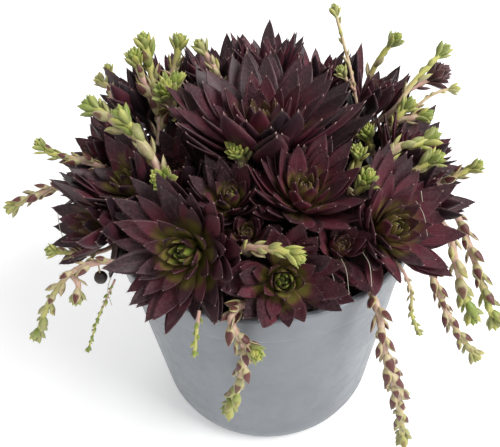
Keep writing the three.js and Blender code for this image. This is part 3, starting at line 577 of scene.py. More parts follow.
class Rosette:
    """One head of leaves on its stem, with the flat planes that part it from its neighbours."""

    def __init__(self, index, name, row):
        base, axis, weight, leaf, count, low, high, green, red, broad = row
        self.name, self.leaf, self.count, self.broad = name, leaf, count, broad
        self.low, self.high, self.green, self.red = low, high, green, red
        self.base = np.array(base, dtype=float)
        self.axis = unit(np.array(axis, dtype=float))
        self.across = unit(np.array([1.0, 0.0, 0.0]) - self.axis[0] * self.axis)
        self.along = np.cross(self.axis, self.across)
        self.ray = unit(self.base - HEART)
        self.stem_radius = STEM_LEAST + STEM_GROWTH * leaf
        self.seed = 100 * index + 7
        self.spin = 2 * np.pi * draw(self.seed)
        foot = soil_top(np.hypot(self.base[0], self.base[1])) - HOLE_DEPTH
        self.stem_foot = HEART + self.ray * (foot - HEART[2]) / self.ray[2]
        self.stem_length = (self.base - self.stem_foot) @ self.ray - HOLE_DEPTH
        middle = self.base + CELL_AT * leaf * self.axis - HEART
        reach = np.arctan(weight / np.linalg.norm(middle))
        self.weighted = unit(middle) / np.cos(reach)

    def wanted(self, order):
        """The leaf's free shape by its place in the spiral: shorter and steeper towards the
        heart. A leaf of negative order is one of the skirt, lower and older by its number."""
        share = max(order, 0.0) / (self.count - 1)
        age = max(-order, 0.0) / SKIRT
        seed = self.seed + 3 * order
        size = self.leaf
        steepness = blend(self.low, self.high, share ** RISE_POWER) - SKIRT_FALL * age
        chance = LEAST_LENGTH + LENGTH_CHANCE * draw(seed + 3)
        return {
            "turn": self.spin + order * GOLDEN + TURN_CHANCE * (draw(seed + 1) - 0.5),
            "rise": math.radians(steepness + RISE_CHANCE * (draw(seed + 2) - 0.5)),
            "curl": math.radians(blend(OUTER_CURL, INNER_CURL, share)),
            "length": size * (1 - INNER_SHORTER * share) * chance,
            "width": LEAF_SLIMNESS * size * (1 - INNER_NARROWER * share),
            "thickness": LEAF_EDGE + LEAF_FLESH * size,
            "root_out": ROOT_SPREAD * size,
            "root_up": ROOT_CLIMB * size * share,
            "drop": age * (self.stem_length - SKIRT_ROOM),
            "age": age,
        }

    def station(self, turn, rise, curl, length, root_out, root_up, drop, share):
        """A point of the middle line, which is an arc from its rise to rise plus curl, with the
        directions to the leaf's side and off its face. All arguments broadcast together."""
        angle = rise + curl * share
        out = root_out + length * (np.sin(angle) - np.sin(rise)) / curl
        up = root_up + length * (np.cos(rise) - np.cos(angle)) / curl
        radial = np.cos(turn)[..., None] * self.across + np.sin(turn)[..., None] * self.along
        side = np.cross(self.axis, radial)
        face = np.cos(angle)[..., None] * self.axis - np.sin(angle)[..., None] * radial
        foot = self.base - np.asarray(drop)[..., None] * self.ray
        middle = foot + out[..., None] * radial + up[..., None] * self.axis
        return middle, side + 0.0 * middle, face

    def settled(self, order, margin, room):
        """The first of the steeper, turned and shorter leaves that is clear of its neighbours.
        The room kept to runners is a share of the solid model's."""
        leaf = self.wanted(order)
        top = max(leaf["rise"], math.radians(STEEPEST) - leaf["curl"] / 2)
        trim, lift, swing = (a.ravel() for a in np.meshgrid(TRIMS, LIFTS, SWINGS, indexing="ij"))
        rise = np.minimum(leaf["rise"] + np.radians(lift), top)
        turn = leaf["turn"] + np.radians(swing)
        length = leaf["length"] * trim
        shares = np.concatenate([[0.0, WIDEST_AT, 1.0], PROBES])
        middle, side, face = self.station(
            turn[:, None], rise[:, None], leaf["curl"], length[:, None],
            leaf["root_out"], leaf["root_up"], leaf["drop"], shares[None, :])
        half = 0.5 * leaf["width"] * width_at(WIDEST_AT, SOLID_FORM)
        under = leaf["thickness"] * (1 - TIP_THINNING * WIDEST_AT ** 3)
        edge = middle[:, 1] + LEAF_CUP * half * face[:, 1]
        corners = np.stack([edge + half * side[:, 1], edge - half * side[:, 1],
                            middle[:, 1] - under * face[:, 1]], 1)
        points = np.concatenate(
            [middle[:, 2:3], corners, 0.5 * (corners + middle[:, :1])], axis=1)
        planes = np.einsum("cpk,nk->cpn", points - HEART, self.planes) > margin
        away = np.hypot(points[..., 0], points[..., 1])
        over = points[..., 2] > floor_at(away)
        if leaf["age"] > 0:
            over &= points[..., 2] > np.where(away > RIM_RADIUS, SKIRT_FLOOR, 0.0)
        fine = planes.all(axis=(1, 2)) & over.all(axis=1)
        if len(self.near_points):
            probe, aside = middle[:, 3:], side[:, 3:]
            offset = self.near_points[None, None] - probe[:, :, None]
            sideways = np.einsum("cpnk,cpk->cpn", offset, aside)
            rest = np.linalg.norm(offset - sideways[..., None] * aside[:, :, None], axis=-1)
            wide = width_at(PROBES, SOLID_FORM)[None, :, None]
            beyond = np.maximum(0.0, np.abs(sideways) - 0.5 * leaf["width"] * wide)
            near = np.hypot(beyond, rest).min(axis=1)
            fine &= (near > room * self.near_reach + leaf["thickness"]).all(axis=1)
        if not fine.any():
            return None
        pick = int(np.argmax(fine))
        return dict(leaf, rise=rise[pick], turn=turn[pick], length=length[pick])


def strands_of(name, rosettes):
    """The paths of a runner and of its branches, each with its bare share."""
    mother_name, bare, _, _, points, *branches = RUNNERS[name]
    mother = rosettes[mother_name]
    outward = np.array(points[0], dtype=float) - mother.base
    outward = unit(outward - mother.ray * (outward @ mother.ray))
    start = mother.base - ROOT_DROP * mother.ray + (mother.stem_radius + GAP) * outward
    main = Path([start, start + ROOT_STRAIGHT * outward, *points])
    strands = [(main, bare)]
    for share, branch in branches:
        strands.append((Path([main.at(share)[0], *branch]), BRANCH_BARE))
    return strands


def prepare_clump():
    """All rosettes, with their cell planes and the runner points that their leaves keep off."""
    rosettes = {name: Rosette(index, name, row)
                for index, (name, row) in enumerate(ROSETTES.items())}
    points, reaches = [], []
    for name in RUNNERS:
        reach, length = DARK_BUD if name == DARK_RUNNER else BUD
        for path, bare in strands_of(name, rosettes):
            steps = math.ceil(path.length / PROBE_STEP)
            shares = np.arange(steps + 1) / steps
            room = np.where(shares < bare, RUNNER_RADIUS + 2 * GAP, SCALE_OUT)
            room = np.where((1 - shares) * path.length < length, reach, room)
            points.append(path.at(shares))
            reaches.append(room)
    centre, radius, _ = BERRY
    points.append(np.array([centre], dtype=float))
    reaches.append(np.array([radius + GAP]))
    points, reaches = np.concatenate(points), np.concatenate(reaches)
    for rosette in rosettes.values():
        rosette.planes = np.array([
            unit(rosette.weighted - other.weighted)
            for other in rosettes.values() if other is not rosette])
        middle = rosette.base + NEAR_AT * rosette.leaf * rosette.axis
        near = np.linalg.norm(points - middle, axis=1) < NEAR_REACH * rosette.leaf
        rosette.near_points, rosette.near_reach = points[near], reaches[near]
    return rosettes


# ---- leaves ----
def grown_leaves(rosette):
    """The rosette's leaves as one table of arrays: the skirt, the leaves of the spiral from the
    oldest inwards, the ones between them, and the heart."""
    outer = round(OUTER_SHARE * rosette.count)
    leaves = []
    more = BETWEEN_LEAST + BETWEEN_NARROW * (1 - rosette.broad)
    between = 0.5 + np.arange(round(more * rosette.count))
    for order in np.concatenate([np.arange(-SKIRT, rosette.count), between]):
        modelled = float(order).is_integer() and 0 <= order < outer
        leaf = rosette.settled(float(order), *(STRICT if modelled else LOOSE))
        if leaf is None:
            continue
        leaf["share"] = max(order, 0.0) / (rosette.count - 1)
        leaf["seed"] = rosette.seed + 13.0 * order
        leaves.append(leaf)
    for number in range(HEART_LEAVES):
        inner = number / (HEART_LEAVES - 1)
        order = rosette.count + number
        size = rosette.leaf
        leaves.append({
            "turn": rosette.spin + order * GOLDEN,
            "rise": math.radians(blend(rosette.high, HEART_RISE, inner)),
            "curl": math.radians(blend(*HEART_CURL, inner)),
            "length": size * blend(*HEART_LENGTH, inner),
            "width": LEAF_SLIMNESS * size * blend(*HEART_WIDTH, inner),
            "thickness": LEAF_EDGE + HEART_FLESH * size,
            "root_out": size * blend(*HEART_ROOT_OUT, inner),
            "root_up": size * blend(*HEART_ROOT_UP, inner),
            "drop": 0.0,
            "age": 0.0,
            "share": 1.0 + 0.3 * inner,
            "seed": rosette.seed + 17.0 * order,
        })
    return {key: np.array([leaf[key] for leaf in leaves])[:, None] for key in leaves[0]}


def leaf_stations(rosette, leaves, fullness, shares):
    """Middle points, side and face directions and half widths at shares of all leaves. Each leaf
    also sways to its side with the square of the share, and rolls in step with it."""
    middle, side, face = rosette.station(
        leaves["turn"], leaves["rise"], leaves["curl"], leaves["length"],
        leaves["root_out"], leaves["root_up"], leaves["drop"], shares[None, :])
    sway = LEAF_SWAY * leaves["length"] * (draw(leaves["seed"] + 5) - 0.5) * shares ** 2
    middle = middle + sway[..., None] * side
    roll = (LEAF_ROLL * (draw(leaves["seed"] + 9) - 0.5) * shares)[..., None]
    side, face = (np.cos(roll) * side + np.sin(roll) * face,
                  np.cos(roll) * face - np.sin(roll) * side)
    half = 0.5 * fullness * rosette.broad * leaves["width"] * width_at(shares, DRAWN_FORM)
    return middle, side, face, half


def leaf_look(rosette, leaves, along, beside):
    """How green, how red and how dry the leaves are. The green ends at a share of the leaf that
    grows towards the heart, fades out round it, and is weaker at the edges. The red is the
    rosette's own with a draw for each leaf. The leaves of the skirt dry out with age."""
    share, seed = leaves["share"], leaves["seed"]
    ends = 0.32 + 0.44 * share + 0.3 * (draw(seed + 4) - 0.5)
    ends = ends + 0.6 * smooth((share - 0.98) / 0.12)
    green = smooth((ends - along) / 0.42 + 0.5) * (0.75 + 0.25 * (1 - beside))
    green = rosette.green * green * (0.78 + 0.4 * smooth((share - 0.95) / 0.3))
    tone = 0.45 * rosette.red + 0.85 * draw(seed + 2) + 0.35 * (share - 0.5)
    dry = smooth(leaves["age"] * 1.3 - 0.2 * draw(seed))
    return np.stack(np.broadcast_arrays(green, tone, dry), -1)


def leaf_skins(rosette, leaves, settings):
    """Each leaf is an arc with a lens-shaped section, wide and cupped above and keeled below,
    that narrows to a sharp tip."""
    middle, side, face, half = leaf_stations(rosette, leaves, settings.leaf_fullness, LEAF_SHARES)
    angle = 2 * np.pi * np.arange(LEAF_AROUND) / LEAF_AROUND
    x, lift = np.cos(angle), np.sin(angle)
    thick = (leaves["thickness"] * (1 - TIP_THINNING * LEAF_SHARES ** 3))[..., None]
    height = (LEAF_CUP * half[..., None] * (0.15 + 0.85 * x ** 2)
              + thick * np.where(lift > 0, UPPER_FLESH, LOWER_FLESH) * lift)
    rings = (middle[:, :, None] + (half[..., None] * x)[..., None] * side[:, :, None]
             + height[..., None] * face[:, :, None])
    ends = np.array([0.0, LEAF_TIP])
    end, _, end_face, _ = leaf_stations(rosette, leaves, settings.leaf_fullness, ends)
    tip = end[:, 1] + 0.1 * thick[:, 0] * end_face[:, 1]
    rounds = len(LEAF_SHARES)
    along = np.concatenate([[0.0], np.repeat(LEAF_SHARES, LEAF_AROUND), [1.0]])
    beside = np.concatenate([[0.3], np.tile(np.abs(x), rounds), [1.0]])
    above = np.concatenate([[0.5], np.tile(np.where(lift > -0.1, 1.0, 0.0), rounds), [1.0]])
    look = leaf_look(rosette, leaves, along, beside)
    place = np.broadcast_to(np.stack([along, beside, above], -1), look.shape)
    return closed_skins(end[:, 0], rings, tip), place, look


def hair_skins(rosette, leaves, sign, settings):
    """Three-sided spikes along one edge of each leaf, which lean out and towards its tip."""
    shares = np.linspace(0.3, 0.985, HAIRS)
    middle, side, face, half = leaf_stations(rosette, leaves, settings.leaf_fullness, shares)
    ahead = unit(np.cross(side, face))
    edge = middle + sign * half[..., None] * side + LEAF_CUP * half[..., None] * face
    grain = draw(leaves["seed"] + 31 * sign + 7.0 * np.arange(HAIRS))[..., None]
    lean = unit(sign * side + (0.5 + 0.9 * shares[:, None] ** 2) * ahead
                + 0.5 * (grain - 0.3) * face)
    wide = settings.hair_width / 2
    foot = np.stack([edge + wide * ahead, edge + wide * face, edge - wide * ahead], 2)
    if sign > 0:
        foot = foot[:, :, ::-1]
    end = (edge + settings.hair_length * (0.6 + 0.8 * grain) * lean).reshape(-1, 3)
    start = (edge - 0.25 * lean).reshape(-1, 3)
    return closed_skins(start, foot.reshape(-1, 1, 3, 3), end), (0.9, 1.0, 1.0)


def make_rosettes(settings):
    """One piece for each rosette: leaves, hairs, and a dry brown stem down into the soil."""
    material = leaf_material(settings)
    for name, rosette in prepare_clump().items():
        skin = Skin()
        leaves = grown_leaves(rosette)
        skin.add(*leaf_skins(rosette, leaves, settings))
        for sign in (1.0, -1.0):
            skin.add(*hair_skins(rosette, leaves, sign, settings))
        stem = Path([rosette.stem_foot, 0.5 * (rosette.stem_foot + rosette.base), rosette.base])
        skins, _ = tube(stem, rosette.stem_radius, 10, 2.5, 0.16, rosette.seed)
        skin.add(skins, look=(0.0, 0.0, STEM_DRYNESS))
        piece = skin.piece(f"leaves_{name}", material)
        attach(piece, "root")
        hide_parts(f"rosette_{name}")


# ---- runners ----
def leaflets(root, outward, heading, lean, bend, length, half, thick, widest):
    """Small plump leaves. Each middle line is an arc from its lean off the stem to lean plus bend.
    The section is a lens that is flatter above, and its size is a half wave of sine, stretched to
    peak at the widest share and raised to a power, so that it fills out early and ends sharper."""
    column = {k: np.broadcast_to(np.asarray(v, dtype=float), len(root))[:, None] for k, v in
              (("lean", lean), ("bend", bend), ("long", length), ("half", half), ("deep", thick))}
    side = np.cross(heading, outward)[:, None]

    def middle_at(shares):
        lean_at = column["lean"] + column["bend"] * shares
        reach = column["long"] / column["bend"]
        out = reach * (np.cos(column["lean"]) - np.cos(lean_at))
        ahead = reach * (np.sin(lean_at) - np.sin(column["lean"]))
        return (root[:, None] + out[..., None] * outward[:, None]
                + ahead[..., None] * heading[:, None]), lean_at

    middle, lean_at = middle_at(LEAFLET_SHARES)
    face = (np.sin(lean_at)[..., None] * heading[:, None]
            - np.cos(lean_at)[..., None] * outward[:, None])
    turn = 2 * np.pi * np.arange(LEAFLET_AROUND) / LEAFLET_AROUND
    swell = np.sin(np.pi * LEAFLET_SHARES ** (math.log(0.5) / math.log(widest)))
    swell = swell ** np.where(LEAFLET_SHARES < widest, 0.6, 0.9)
    wide = (column["half"] * swell)[..., None] * np.cos(turn)
    lift = np.where(np.sin(turn) > 0, 0.35, 1.0) * np.sin(turn)
    deep = (column["deep"] * swell)[..., None] * lift
    points = (middle[:, :, None] + wide[..., None] * side[:, :, None]
              + deep[..., None] * face[:, :, None])
    tip = middle_at(np.array([LEAFLET_TIP]))[0][:, 0]
    along = np.concatenate([[0.0], np.repeat(LEAFLET_SHARES, LEAFLET_AROUND), [1.0]])
    beside = np.concatenate([[0.4], np.tile(np.abs(np.cos(turn)), len(LEAFLET_SHARES)), [1.0]])
    return closed_skins(root, points, tip), along, beside


def add_leaflets(skin, leaves, green, brown, seed):
    """Adds small leaves with their colours: how green and how brown each is."""
    skins, along, beside = leaves
    count = len(skins[0])
    grain = draw(seed + 3.0 * np.arange(count))[:, None]
    place = np.stack([np.broadcast_to(v, (count, len(along))) for v in (along, beside, grain)], -1)
    green, brown = (np.broadcast_to(np.reshape(v, (-1, 1)), (count, len(along)))
                    for v in (green, brown))
    skin.add(skins, place, np.stack([green, brown, np.zeros_like(place[..., 0])], -1))


def stem_skin(path, radius, bare, look, seed):
    """The round stem, brown near its root and greener from a share of its length on."""
    green, brown, apart, slender = look
    skins, shares = tube(path, radius, STEM_AROUND, STEM_STEP, STEM_WOBBLE, seed)
    along = np.concatenate([[0.0], np.repeat(shares, STEM_AROUND), [1.0]])[None]
    greening = smooth((along - GREEN_FROM / apart) / 0.5) * 0.8 * green * slender
    browning = min(1.0, 2 * brown) * (1 - smooth(along / max(bare, 0.05)))
    place = np.stack([along, 0 * along, 0 * along + draw(seed)], -1)
    return skins, place, np.stack([greening, browning, np.ones_like(along)], -1)


def scale_leaves(skin, path, bare, end, radius, size, look, seed, settings):
    """Scale leaves from the bare share of the stem to its end share, each turned from the last by
    the golden angle. They lean little, and vary in size, lean and colour."""
    green, brown, apart, slender = look
    count = max(2, int((end - bare) * path.length / (settings.scale_pitch * size * apart)))
    number = np.arange(count)
    grain, other = draw(seed + 5.0 * number), draw(seed + 8.0 * number + 2)
    at = bare + (end - bare) * (number + 0.5 * grain) / count
    middle, heading, outward = path.frames(at, number * GOLDEN + 6.28 * draw(seed + 1))
    length = settings.scale_length * size * slender * (0.8 + 0.5 * grain)
    leaves = leaflets(
        middle + 0.6 * radius * outward, outward, heading, np.radians(9 + 9 * other),
        np.radians(8 + 22 * grain), length, (0.23 + 0.05 * other) * length, 0.17 * length, 0.52)
    late = smooth((at - GREEN_FROM) / 0.6)
    browning = np.clip(brown * (1.2 - 0.9 * late) * (0.6 + 0.6 * other), 0, 1)
    add_leaflets(skin, leaves, green * (0.25 + 0.75 * late), browning, seed)


def bud_leaves(skin, path, start, bud, radius, look, seed):
    """The young rosette on the last stretch of the stem: its leaves get closer, shorter, steeper
    and greener towards the heart."""
    green, brown, _, _ = look
    reach, longest, count = bud
    number = np.arange(count)
    inner = number / (count - 1)
    at = start + (1 - start) * 0.72 * inner ** 0.8
    middle, heading, outward = path.frames(at, number * GOLDEN)
    root = middle + 0.5 * radius * (1 - inner)[:, None] * outward
    grain = draw(seed + 11.0 * number)
    length = longest * blend(0.9, 0.44, inner ** 0.9) * (0.88 + 0.2 * grain)
    flare = blend(reach / longest, 0.12, inner ** 1.3)
    leaves = leaflets(root, outward, heading, 0.35 * flare, 1.15 * flare + 0.02,
                      length, blend(0.2, 0.24, inner) * length, 0.15 * length, 0.64)
    greening = np.clip(0.3 + 0.7 * green * (0.35 + 0.8 * inner), 0, 1)
    add_leaflets(skin, leaves, greening, 0.35 * brown * (1 - inner), seed)


def strand_skins(skin, path, bare, bud, size, seed, look, settings):
    """One strand of a runner: its stem, its scale leaves and the young rosette at its end, which
    takes up to 0.7 of a short strand."""
    radius = settings.stem_radius * size * look[-1]
    bud_from = 1.0 - min(0.7, 0.85 * bud[1] / path.length)
    skin.add(*stem_skin(path, radius, bare, look, seed))
    scale_leaves(skin, path, bare, bud_from, radius, size, look, seed, settings)
    bud_leaves(skin, path, bud_from, bud, radius, look, seed)


def berry_skins(skin, stem):
    """A ball of rings whose radius follows a half circle, lightly dented, on a thin stalk."""
    centre, radius, share = BERRY
    centre = np.array(centre, dtype=float)
    ring, step = np.arange(BERRY_RINGS), np.arange(BERRY_AROUND)
    polar = np.pi * (ring + 1) / (BERRY_RINGS + 1)
    angle = 2 * np.pi * step / BERRY_AROUND
    dents = 1 + BERRY_DENTS * (draw(5.0 * ring[:, None] + step) - 0.5)
    rings = centre + radius * dents[..., None] * np.stack([
        np.sin(polar)[:, None] * np.cos(angle),
        np.sin(polar)[:, None] * np.sin(angle),
        -np.cos(polar)[:, None] + 0 * angle], -1)
    down = np.array([0, 0, radius])
    skin.add(closed_skins((centre - down)[None], rings[None], (centre + down)[None]),
             place=(1.0, 0.0, -1.0))
    top = stem.at(share)[0]
    skins, _ = tube(Path([centre, 0.5 * (centre + top), top]), STALK_RADIUS, 6, 1.0)
    skin.add(skins, look=(0.1, 0.6, 0.6))


def make_runners(settings):
    """One piece for each runner, with its branches. The dark runner has its own young rosette."""
    rosettes = prepare_clump()
    plain, dark = runner_material(settings), dark_material(settings)
    for index, (name, row) in enumerate(RUNNERS.items()):
        skin = Skin()
        look, size, is_dark = RUNNER_LOOKS[row[2]], row[3], name == DARK_RUNNER
        bud = (settings.bud_flare * size, settings.bud_length * size, BUD_LEAVES)
        if is_dark:
            bud = DARK_BUD_DRAWN
        strands = strands_of(name, rosettes)
        for number, (path, bare) in enumerate(strands):
            seed = 40 * index + 9 * number + 3
            strand_skins(skin, path, bare, bud, size, seed, look, settings)
        if name == BERRY_RUNNER:
            berry_skins(skin, strands[0][0])
        piece = skin.piece(f"strand_{name}", dark if is_dark else plain)
        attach(piece, "root")
        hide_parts(f"runner_{name}")


def make_threads(settings):
    """One piece of all loose threads and thin shoots."""
    skin = Skin()
    for seed, (radius, leaf, points) in enumerate(THREADS, THREAD_SEED):
        path = Path(points)
        if leaf:
            strand_skins(skin, path, SHOOT_BARE, SHOOT_BUD, leaf, seed, RUNNER_LOOKS["shoot"],
                         settings)
        else:
            skins, _ = tube(path, radius, 5, 1.2, 0.3, seed)
            skin.add(skins, place=(0.0, 0.0, 2.0), look=(0.15, 0.0, 1.0))
    piece = skin.piece("loose_threads", runner_material(settings))
    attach(piece, "root")


# ---- pot and soil ----
def pot_profile():
    """The wall's section: foot, outside with its band, lip, and inside back to the floor."""
    flat = FOOT_RADIUS - FOOT_CORNER
    bend = FOOT_CORNER * (1 - math.sqrt(0.5))
    band_foot = POT_HEIGHT - BAND_HEIGHT
    return [
        [0, 0],
        [flat, 0],
        [FOOT_RADIUS - bend, bend],
        [FOOT_RADIUS, FOOT_CORNER],
        [wall_radius(band_foot), band_foot],
        [wall_radius(band_foot) + BAND_STEP, band_foot + BAND_STEP],
        [RIM_RADIUS, POT_HEIGHT - LIP_FALL_OUTSIDE],
        [RIM_RADIUS - LIP_CORNER, POT_HEIGHT],
        [RIM_RADIUS - LIP_WIDTH + LIP_CORNER, POT_HEIGHT],
        [RIM_RADIUS - LIP_WIDTH, POT_HEIGHT - LIP_FALL_INSIDE],
        [wall_radius(band_foot) - WALL, band_foot],
        [FOOT_RADIUS - WALL, FOOT_CORNER],
        [flat, FLOOR],
        [0, FLOOR],
    ]


def make_pot(settings):
    """The section carried round, with the drain holes cut through its floor."""
    skin = Skin()
    skin.add(turned_skin(rounded(pot_profile(), POT_ROUNDING, 5), POT_AROUND))
    pot = skin.piece("pot_shell", plastic_material(settings))
    low, high = DRAIN_CUT
    plug = [[0, low], [DRAIN_RADIUS, low], [DRAIN_RADIUS, high], [0, high]]
    cutters = []
    for hole in range(DRAIN_HOLES):
        angle = (hole + 0.5) * 2 * math.pi / DRAIN_HOLES
        skin = Skin()
        skin.add(turned_skin(plug, 32))
        cutter = skin.piece(f"drain_cutter_{hole}", pot.data.materials[0])
        spot = Vector((DRAIN_CIRCLE * math.cos(angle), DRAIN_CIRCLE * math.sin(angle), 0)) * MM
        cutter.data.transform(Matrix.Translation(spot))
        cut = pot.modifiers.new(f"drain_{hole}", "BOOLEAN")
        cut.operation, cut.solver, cut.object = "DIFFERENCE", "EXACT", cutter
        cutters.append(cutter)
    bpy.context.view_layer.update()
    shaped = bpy.data.meshes.new_from_object(
        pot.evaluated_get(bpy.context.evaluated_depsgraph_get()))
    pot.modifiers.clear()
    pot.data = shaped
    for cutter in cutters:
        bpy.data.objects.remove(cutter)
    shaped.set_sharp_from_angle(angle=SHARP_EDGE)
    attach(pot, "root")
    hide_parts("pot")


def crumb_skins(count, reach):
    """Crumbs of six sides and two rings, strewn evenly over the soil: most are small."""
    number = np.arange(count)
    away = reach * np.sqrt(draw(number * 2.0 + 5))
    angle = 2 * np.pi * draw(number * 3.0 + 1)
    size = 0.7 + 1.5 * draw(number * 5.0 + 2) ** 2
    spin = 2 * np.pi * np.arange(6) / 6
    grain = draw(number[:, None, None] * 7.0 + 11 * np.arange(2)[:, None] + np.arange(6))
    spread = size[:, None, None] * (0.75 + 0.5 * grain)
    centre = np.stack([away * np.cos(angle), away * np.sin(angle),
                       soil_top(away) + 0.3 * size - 0.6], -1)
    rings = centre[:, None, None] + np.stack([
        spread * np.cos(spin), spread * np.sin(spin),
        size[:, None, None] * CRUMB_LEVELS[:, None] + 0.35 * spread * (grain - 0.5)], -1)
    drop = np.stack([0 * size, 0 * size, size], -1)
    skins = closed_skins(centre - drop, rings, centre + 0.8 * drop)
    look = np.stack([draw(number * 13.0), 0 * size, 0 * size], -1)[:, None]
    return skins, (0, 0, 0), look


def make_soil(settings):
    """A plug of potting mix under a lumpy crown, strewn with crumbs of bark and peat."""
    edge = wall_radius(POT_HEIGHT - BAND_HEIGHT) - WALL - GAP
    inner = np.linspace(1.0, 0.0, SOIL_RINGS)[:-1] * edge
    profile = [[0, FLOOR + GAP], [FOOT_RADIUS - FOOT_CORNER - GAP, FLOOR + GAP],
               [FOOT_RADIUS - WALL - GAP, FOOT_CORNER]]
    profile += [[radius, soil_top(radius)] for radius in inner] + [[0, SOIL_CROWN]]
    skins = turned_skin(profile, SOIL_AROUND)
    points = skins[0][0]
    top = (points[:, 2] > POT_HEIGHT / 2) & (np.hypot(points[:, 0], points[:, 1]) < edge - 0.5)
    lump = SOIL_LUMP * (draw(np.arange(len(points)) * 1.7) - 0.6)
    points[:, 2] += np.where(top, lump, 0.0)
    skin = Skin()
    skin.add(skins)
    skin.add(*crumb_skins(settings.crumbs, edge - 1.5))
    piece = skin.piece("soil_crumb", soil_material(settings))
    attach(piece, "root")
    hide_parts("potting_soil")


# ---- finishes ----
class Finish:
    """Builds one material's nodes: patterns in object space, sums, mixes and a bump."""

    def __init__(self, name, roughness):
        self.material = bpy.data.materials.new(name)
        self.material.use_nodes = True
        self.nodes = self.material.node_tree.nodes
        self.links = self.material.node_tree.links
        self.shader = self.nodes["Principled BSDF"]
        self.set("Roughness", roughness)
        self.place = self.nodes.new("ShaderNodeTexCoord").outputs["Object"]

    def feed(self, socket, value):
        """Gives a socket another node's output, a colour of three numbers, or a number."""
        if isinstance(value, bpy.types.NodeSocket):
            self.links.new(value, socket)
        else:
            socket.default_value = (*value, 1.0) if socket.type == "RGBA" else value

    def set(self, name, value):
        self.feed(self.shader.inputs[name], value)

    def node(self, kind, given, **options):
        """The outputs of a new node, with its options and what its inputs are given."""
        node = self.nodes.new(kind)
        for name, value in options.items():
            setattr(node, name, value)
        for name, value in given.items():
            self.feed(node.inputs[name], value)
        return node.outputs

    def noise(self, size, detail=3.0, rough=0.5):
        """Soft noise whose grains are about size millimetres across."""
        return self.node("ShaderNodeTexNoise", {
            "Vector": self.place, "Scale": 1.0 / (size * MM), "Detail": detail,
            "Roughness": rough})["Fac"]

    def vector(self, name):
        """The three parts of a vector that the mesh holds at its points."""
        whole = self.node("ShaderNodeAttribute", {}, attribute_name=name)["Vector"]
        return self.node("ShaderNodeSeparateXYZ", {"Vector": whole})

    def ramp(self, value, low, high, to_low=0.0, to_high=1.0):
        """Runs smoothly from to_low to to_high while the value runs from low to high."""
        return self.node("ShaderNodeMapRange", {
            "Value": value, "From Min": low, "From Max": high, "To Min": to_low,
            "To Max": to_high}, interpolation_type="SMOOTHSTEP")["Result"]

    def math(self, kind, first, second=0.0):
        return self.node("ShaderNodeMath", {0: first, 1: second}, operation=kind)[0]

    def times(self, first, second):
        return self.math("MULTIPLY", first, second)

    def plus(self, first, second):
        return self.math("ADD", first, second)

    def swing(self, value, reach):
        """Noise about its middle: from minus to plus half of the reach."""
        return self.times(self.math("SUBTRACT", value, 0.5), reach)

    def mix(self, share, first, second):
        return self.node("ShaderNodeMix", {"Factor": share, "A": first, "B": second},
                         data_type="RGBA")["Result"]

    def bump(self, height, strength, depth):
        """Raises the surface by up to depth millimetres."""
        self.set("Normal", self.node("ShaderNodeBump", {
            "Strength": strength, "Distance": depth * MM, "Height": height})["Normal"])

    def sheen(self, weight, tint):
        self.set("Sheen Weight", weight)
        self.set("Sheen Tint", tint)
        self.set("Sheen Roughness", 0.4)


def leaf_material(settings):
    """Fleshy leaf: dark purple that reddens in patches, fine veins along its length, a green
    heart, pale edges and tips, and a painted sheen on the upper faces that stands in for light."""
    finish = Finish("houseleek_leaf", 0.42)
    along, beside, above = finish.vector("place")
    green, tone, dry = finish.vector("look")
    patches = finish.noise(9.0)
    fine = finish.noise(1.1, 4.0, 0.6)

    red = finish.ramp(finish.plus(finish.times(tone, 0.75), patches), 0.68, 1.42)
    colour = finish.mix(red, settings.leaf_dark, settings.leaf_red)
    towards_tip = finish.times(finish.ramp(along, 0.45, 1.0), 0.75)
    towards_edge = finish.times(finish.ramp(beside, 0.72, 1.0), 0.4)
    colour = finish.mix(finish.math("MAXIMUM", towards_tip, towards_edge),
                        colour, settings.leaf_dark)
    # Painted sheen: the upper faces are mixed, in a fine pattern, towards a lighter sheen colour
    # that stands in for light falling on them.
    painted_sheen = finish.times(finish.ramp(above, 0.2, 1.0), finish.ramp(fine, 0.35, 0.75, 0.03, 0.34))
    colour = finish.mix(painted_sheen, colour, settings.leaf_sheen)

    phase = finish.plus(finish.times(beside, settings.veins * 2 * math.pi),
                        finish.times(patches, 6.0))
    vein = finish.ramp(finish.math("SINE", phase), -0.2, 1.0)
    vein = finish.times(vein, finish.ramp(along, 0.95, 0.6))
    colour = finish.mix(finish.times(vein, 0.3), colour, settings.leaf_dark)
    rib = finish.times(finish.ramp(beside, 0.12, 0.0), finish.ramp(along, 0.9, 0.4))
    colour = finish.mix(finish.times(rib, 0.3), colour, settings.leaf_sheen)

    greening = finish.plus(green, finish.swing(patches, 0.5))
    colour = finish.mix(finish.ramp(greening, 0.15, 0.75), colour, settings.leaf_green)
    colour = finish.mix(finish.ramp(greening, 0.65, 1.1), colour, settings.leaf_heart)
    edge = finish.times(finish.ramp(beside, 0.93, 1.0), 0.45)
    colour = finish.mix(edge, colour, settings.leaf_edge)
    tip = finish.times(finish.ramp(along, 0.986, 1.0), 0.8)
    colour = finish.mix(tip, colour, settings.leaf_tip)
    colour = finish.mix(finish.times(dry, 0.8), colour, settings.leaf_dry)

    finish.set("Base Color", colour)
    finish.set("Roughness", finish.ramp(fine, 0.2, 0.8, 0.36, 0.55))
    finish.set("Specular IOR Level", 0.3)
    finish.bump(finish.plus(finish.noise(0.7, 3.0, 0.6), finish.times(vein, -0.5)), 0.3, 0.12)
    return finish.material


